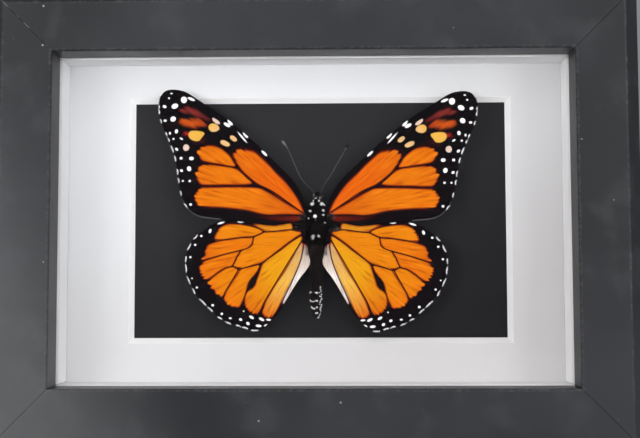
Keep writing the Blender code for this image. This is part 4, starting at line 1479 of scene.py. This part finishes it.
ABDOMEN_TUFTS = [
    (0.05, -21.25, 0.26), (-0.4, -21.2, 0.14), (-1.8, -21.1, 0.15), (0.07, -23.55, 0.26),
    (-0.4, -23.5, 0.14), (-1.9, -23.4, 0.18), (-1.0, -23.75, 0.12), (-1.2, -25.6, 0.2),
    (-0.6, -25.8, 0.2), (0.05, -25.4, 0.22), (-0.3, -27.1, 0.16), (0.12, -27.0, 0.22),
    (1.05, -19.6, 0.15), (1.05, -20.2, 0.15), (1.15, -22.3, 0.18), (1.35, -23.0, 0.14),
    (1.0, -23.9, 0.15), (1.35, -24.7, 0.14), (1.0, -25.6, 0.15), (1.25, -26.5, 0.16),
    (0.9, -28.0, 0.2), (0.3, -28.4, 0.14), (1.2, -20.8, 0.13), (0.75, -21.2, 0.12),
    (1.3, -21.7, 0.14), (0.8, -22.2, 0.1), (1.1, -23.4, 0.13), (0.85, -24.5, 0.12),
    (1.2, -25.2, 0.14), (0.95, -26.1, 0.14), (1.15, -27.1, 0.14), (0.8, -27.6, 0.14),
    (0.6, -28.2, 0.13), (-1.5, -21.0, 0.1), (-1.95, -21.3, 0.1), (-1.6, -23.6, 0.12),
    (-1.3, -23.75, 0.11), (-0.7, -23.7, 0.12), (-1.5, -25.3, 0.12), (-0.9, -25.8, 0.12)]
SEGMENT = 2.75
WAIST_Z = -6.6
TAIL_Z = -28.8
ABDOMEN_LENGTH = 22.2


def abdomen_stations():
    """Seven rings of skin that overlap like roof tiles, thinning at the tail."""
    made = []
    for z in np.arange(WAIST_Z, TAIL_Z, -0.25):
        share = (WAIST_Z - z) / ABDOMEN_LENGTH
        width = np.interp(share, [0, 0.08, 0.3, 0.6, 0.8, 0.93, 1],
                          [1.2, 1.75, 1.9, 1.9, 1.7, 1.2, 0.5])
        ridge = 1 - 0.07 * ((share * ABDOMEN_LENGTH) % SEGMENT) / SEGMENT
        made.append((-0.02 - 0.16 * share, 1.3, z, width * ridge, width * ridge * 0.95))
    return made + [(-0.18, 1.3, TAIL_Z, 0.12, 0.12)]


thorax = skin_piece("thorax_skin", *lofted(THORAX), THORAX_TUFTS,
                    lambda p, white: 0.6 + 0.6 * (p[:, 2] < -3))
head = skin_piece("head_skin", *lofted(HEAD), HEAD_TUFTS, lambda p, white: np.full(len(p), 0.5))
abdomen = skin_piece("abdomen_skin", *lofted(abdomen_stations()), ABDOMEN_TUFTS,
                     lambda p, white: np.interp(p[:, 2], [-16, -12, -8], [0.3, 0.9, 1.4]))
attach(thorax, "horn", "thorax")
attach(head, "horn", "head")
attach(abdomen, "horn", "abdomen")


# %% [markdown]
# ## Hair
#
# The hair is grown on the skins: random points, and at each a long thin cone that leans towards
# the tail. A hair takes its colour and length from the skin under its root.

# %% Hair tree
def hair_tree():
    tree = Grower("body_hair", Density=1.0, Length=1.0 * MM, Girth=0.05 * MM, Lean=0.9,
                  Wild=0.35, Tufted=0.0, Seed=11)
    white, tufted = tree.read("white"), tree.given("Tufted")
    cover = (1 - white) * (1 - tufted) + white * tufted
    scatter = tree.node("GeometryNodeDistributePointsOnFaces", {"distribute_method": "RANDOM"},
                        {"Mesh": tree.given("Geometry"), "Density": tree.given("Density") * cover,
                         "Seed": tree.given("Seed")})
    normal = Wire(tree, scatter.socket.node.outputs["Normal"])
    wild = tree.node("FunctionNodeRandomValue", {"data_type": "FLOAT_VECTOR"},
                     {0: (-1, -1, -1), 1: (1, 1, 1), "Seed": tree.given("Seed")}, 0)
    wild = tree.node("VectorMath", {"operation": "SCALE"}, {0: wild, 3: tree.given("Wild")})
    lean = tree.node("CombineXYZ", None, {2: 0 - tree.given("Lean")})
    aim = tree.node("VectorMath", {"operation": "ADD"}, {0: normal, 1: lean})
    aim = tree.node("VectorMath", {"operation": "ADD"}, {0: aim, 1: wild})
    facing = tree.node("FunctionNodeAlignRotationToVector", {"axis": "Z"}, {"Vector": aim})
    reach = tree.node("FunctionNodeRandomValue", {"data_type": "FLOAT"},
                      {2: 0.55, 3: 1.2, "Seed": tree.given("Seed") + 5.0}, 1)
    size = tree.node("CombineXYZ", None, {
        0: tree.given("Girth"), 1: tree.given("Girth"),
        2: tree.given("Length") * reach * tree.read("long")})
    cone = tree.node("GeometryNodeMeshCone", None, {
        "Vertices": 3, "Side Segments": 1, "Radius Top": 0.12, "Radius Bottom": 0.5,
        "Depth": 1.0})
    made = tree.node("GeometryNodeInstanceOnPoints", None, {
        "Points": scatter, "Instance": cone, "Rotation": facing, "Scale": size})
    return tree.end(made)


def hair_finish(name, dark, brown, light):
    hair = Finish(name, dark, 0.55, Specular_IOR_Level=0.04)
    clump = hair.noise(700.0, 3.0)
    strand = hair.noise(9000.0, 1.0)
    tone = hair.mix(clump.step(0.45, 0.68) * 0.7, dark, brown)
    tone = hair.mix(hair.known("white").step(0.35, 0.6), tone, light)
    hair.set(Base_Color=hair.mix(strand * 0.25, tone, (0, 0, 0)), Roughness=0.4 + clump * 0.25)
    return hair.bump(strand, 0.01 * MM, 0.4)


hair_maker = hair_tree()
fur = hair_finish("black_fur", (0.003, 0.0022, 0.0026), (0.010, 0.006, 0.006), (0.8, 0.8, 0.8))
brown_fur = hair_finish("brown_fur", (0.012, 0.007, 0.007), (0.10, 0.062, 0.056), (0.8, 0.8, 0.8))
white_hair = hair_finish("white_tufts", (0.93, 0.92, 0.93), (0.97, 0.96, 0.97), (0.97, 0.97, 0.97))
for skin, finish, density, length in ((thorax, fur, 34, 0.8), (head, fur, 60, 0.7),
                                      (abdomen, brown_fur, 26, 0.8)):
    name = skin.name.replace("_skin", "")
    grown = hair_maker.grow(f"{name}_hair", skin, finish, Density=density / MM ** 2,
                            Length=length * MM)
    attach(grown, "fur")
    grown = hair_maker.grow(f"{name}_tufts", skin, white_hair, Density=260 / MM ** 2, Tufted=1.0,
                            Length=0.55 * MM, Girth=0.09 * MM, Lean=0.3, Wild=0.3)
    attach(grown, "fur")


# %% [markdown]
# ## Down at the wing roots
#
# Longer, paler hair runs out from the body over the first millimetres of each wing, and brown hair
# over the top of the white fold beside the abdomen. It is grown on small patches cut from the wing
# sheets near their roots.

# %% Down
def root_patch(sheet, depth, side, reach, low, wide):
    """The wing's triangles within reach of its root, above low and within wide of the midline."""
    turn = LEFT_TURN if side < 0 else 0.0
    spots = to_frame(sheet["points"], depth - relief(sheet["facts"]), sheet["root"], side, turn)
    far = sheet["facts"]["ray"][:, 0]
    out, up = sheet["points"].T[:2]
    kept = [f for f in sheet["faces"] if max(far[i] for i in f) < reach
            and min(up[i] for i in f) > low and max(out[i] for i in f) < wide]
    piece = mesh_piece("patch", spots, [f[::-side] for f in kept], [horn])
    if sum(face.normal.y * face.area for face in piece.data.polygons) > 0:
        piece.data.flip_normals()
    store(piece.data, "white", np.zeros(len(spots)))
    store(piece.data, "long", np.interp(far, [0, reach], [1.3, 0.5]))
    return piece


down = hair_finish("grey_down", (0.035, 0.03, 0.03), (0.34, 0.31, 0.29), (0.5, 0.5, 0.5))
for word, side in SIDES:
    for name, sheet, depth, reach, low, wide, coat in (
            ("forewing", forewing_sheet, FOREWING_DEPTH, 1.4, -2, 99, down),
            ("hindwing", hindwing_sheet, HINDWING_DEPTH, 3.2, -3.5, 99, down),
            ("fold", hindwing_sheet, HINDWING_DEPTH, 12, -10.5, 2.9, brown_fur)):
        patch = root_patch(sheet, depth, side, reach, low, wide)
        grown = hair_maker.grow(f"{name}_down_{word}", patch, coat, Density=40 / MM ** 2,
                                Length=0.9 * MM, Lean=0.6, Wild=0.7)
        bpy.data.objects.remove(patch)
        attach(grown, "fur")


# %% [markdown]
# ## Eyes, palps, tongue, antennae and legs
#
# The eyes are half globes with thousands of facets, which a fine cell bump stands for. The palps
# point forward in front of the face, and the tongue is coiled between them. The antennae are thin
# and ringed, and end in a club. The legs are folded behind the body.

# %% Eyes
def eye_finish():
    eye = Finish("eye_facets", (0.012, 0.008, 0.007), 0.18, Coat_Weight=0.3)
    facet = eye.cells(12000.0)
    tone = eye.noise(600.0, 2.0)
    eye.set(Base_Color=eye.mix(tone, (0.008, 0.006, 0.006), (0.03, 0.018, 0.014)))
    return eye.bump(1 - facet, 0.01 * MM, 0.5)


eye_facets = eye_finish()
for word, side in SIDES:
    stations = [(0.25 + side * x, 0.55, 6.5, w, w) for x, w in
                ((0.55, 0.2), (0.7, 0.62), (1.0, 0.82), (1.3, 0.78), (1.6, 0.5), (1.72, 0.12))]
    points, faces = lofted([(x, y, z, w, w) for x, y, z, w, _ in stations], 0.12)
    around = points.copy()
    swap = np.repeat([s[0] for s in smooth_line(stations, 0.12)], SKIN_STEPS)
    around[:len(swap), 2] = 6.5 + (points[:len(swap), 0] - swap)
    around[:len(swap), 0] = swap
    attach(mesh_piece(f"eye_{word}", body_points(around), faces, [eye_facets]), "horn")

# %% Antennae with ringed shafts and clubs
ANTENNA = {
    "left": [(-0.35, 0.2, 7.3), (-0.75, 0.3, 8.0), (-2.75, 0.1, 9.8), (-4.55, -0.2, 12.2),
             (-6.45, -0.6, 16.2), (-8.25, -0.9, 20.4), (-9.95, -1.1, 22.75)],
    "right": [(0.95, 0.2, 7.3), (1.3, 0.3, 8.1), (2.4, 0.1, 10.2), (4.3, -0.2, 13.0),
              (6.5, -0.6, 16.8), (8.3, -0.9, 19.9), (9.2, -1.1, 21.6)]}
CLUB = 1.9
RING = 0.36


def antenna(word, finish):
    line = smooth_line(ANTENNA[word], 0.09)
    run = np.concatenate([[0], np.cumsum(np.linalg.norm(np.diff(line, axis=0), axis=1))])
    left = run[-1] - run
    shaft = np.interp(run, [0, 0.6, run[-1]], [0.2, 0.11, 0.10])
    club = 0.30 * np.clip(1 - ((left - CLUB * 0.42) / (CLUB * 0.62)) ** 2, 0, 1)
    tip = np.clip(left / 0.3 + 0.15, 0, 1) ** 0.5
    ringed = 1 - 0.10 * np.clip((run % RING) / RING * 4 - 3, 0, 1)
    piece = tubes(f"antenna_ringed_{word}", [body_points(line)],
                  [(shaft + club) * tip * ringed * MM], finish, 12)
    attach(piece, "horn", f"antenna_{word}")


def antenna_finish(name, club_tone):
    """Black near the head, greyer along the shaft, and the club in its own tone."""
    skin = Finish(name, (0.03, 0.03, 0.032), 0.6, Specular_IOR_Level=0.1)
    up = (skin.axis(2) - ORIGIN.z) / MM
    patch = skin.noise(1600.0, 3.0)
    tone = skin.mix(up.step(7.0, 14.0), (0.030, 0.030, 0.032), (0.095, 0.095, 0.10))
    tone = skin.mix(patch.step(0.45, 0.6) * 0.4, tone, (0.03, 0.03, 0.032))
    skin.set(Base_Color=skin.mix(up.step(20.2, 20.9), tone, club_tone))
    return skin.bump(patch, 0.02 * MM, 0.5)


antenna("left", antenna_finish("antenna_pale", (0.14, 0.14, 0.145)))
antenna("right", antenna_finish("antenna_dark", (0.001, 0.001, 0.001)))


# %% Legs, palps and tongue
def limb(points, girths, gap=0.2):
    """One tapered limb: points in body millimetres, and its radius at each."""
    known = np.array([(*p, g) for p, g in zip(points, girths)])
    fine = smooth_line(known, gap)
    return body_points(fine[:, :3]), np.maximum(fine[:, 3], 0.02) * MM


def limbs(name, parts, *nodes):
    """Several limbs in one piece of dark horn."""
    lines, girths = zip(*[limb(*part) for part in parts])
    return attach(tubes(name, lines, girths, horn), "horn", *nodes)


def leg(node, side):
    """Femur, shin and seven short spurs along the shin, inside the solid that stands for the leg.
    """
    low, high = [(Vector(c) - ORIGIN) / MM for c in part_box(node)]
    inner, outer = (high.x, low.x) if side < 0 else (low.x, high.x)
    mid = (low.y + high.y) / 2
    top, bottom = high.z - 0.3, low.z + 0.3
    knee = (inner * 0.45 + outer * 0.55, mid, (top + bottom) / 2)
    parts = [([(inner, mid, top), knee], (0.26, 0.2)),
             ([knee, (outer - side * 0.3, mid, bottom)], (0.2, 0.1))]
    for share in np.linspace(0.2, 0.95, 7):
        a = Vector(knee).lerp(Vector((outer - side * 0.3, mid, bottom)), share)
        parts.append(([a, a + Vector((side * 0.3, 0.0, -0.35))], (0.05, 0.01)))
    return parts


for word, side in SIDES:
    for pair in ("mid", "hind"):
        node = f"leg_{pair}_{word}"
        limbs(f"{pair}_leg_jointed_{word}", leg(node, side), node)
COIL_STEPS = 60
FACE_X = 0.25
turns = np.linspace(0, 2.5 * 2 * np.pi, COIL_STEPS)
coil = [(FACE_X, 0.1 - 0.6 + (0.52 - 0.026 * t) * math.cos(t),
         5.9 + (0.52 - 0.026 * t) * math.sin(t)) for t in turns]
limbs("tongue_coiled", [(coil, np.linspace(0.09, 0.04, COIL_STEPS))])
limbs("palps", [([(FACE_X + side * 0.35, 0.5, 5.7), (FACE_X + side * 0.42, -0.4, 6.4),
                  (FACE_X + side * 0.35, -0.7, 7.2)], (0.2, 0.24, 0.06)) for side in (-1, 1)])


# %% [markdown]
# ## The pin
#
# An insect pin is thin spring steel, driven through the thorax into the board. Its head is a tiny
# ball of white enamel, and a short length of bright shaft shows under it.

# %% Pin
PIN_HEAD = Vector((-0.35, -4.1, 0.55))
PIN_TIP = Vector((0.5, 7.6, -4.0))
BALL = 0.55


def pin_parts():
    along = (PIN_TIP - PIN_HEAD).normalized()
    shaft = [PIN_HEAD.lerp(PIN_TIP, s) for s in np.linspace(0.0, 1, 20)]
    ball = [PIN_HEAD - along * BALL * math.cos(a) for a in np.linspace(0.02, math.pi - 0.02, 25)]
    girth = [BALL * max(math.sin(a), 0.03) for a in np.linspace(0.02, math.pi - 0.02, 25)]
    return shaft, ball, girth


def enamel_finish():
    enamel = Finish("white_enamel", (0.8, 0.8, 0.8), 0.25, Coat_Weight=0.4)
    dimple = enamel.noise(1500.0, 3.0)
    enamel.set(Base_Color=enamel.mix(dimple, (0.74, 0.74, 0.75), (0.86, 0.86, 0.87)))
    return enamel.bump(dimple, 0.02 * MM, 0.3)


def steel_finish():
    steel = Finish("spring_steel", (0.62, 0.62, 0.63), 0.25, Metallic=1.0)
    drawn = steel.noise(3000.0, 2.0, (1, 0.08, 1))
    steel.set(Roughness=0.2 + drawn * 0.2,
              Base_Color=steel.mix(drawn, (0.55, 0.55, 0.56), (0.70, 0.70, 0.71)))
    return steel


shaft, ball, ball_girth = pin_parts()
steel, enamel = steel_finish(), enamel_finish()
shaft_piece = tubes("pin_shaft", [body_points(shaft)],
                    [np.append(np.full(19, 0.22), 0.04) * MM], steel, 16)
attach(shaft_piece, "pin", "insect_pin")
attach(tubes("pin_ball", [body_points(ball)], [np.array(ball_girth) * MM], enamel, 24), "pin")
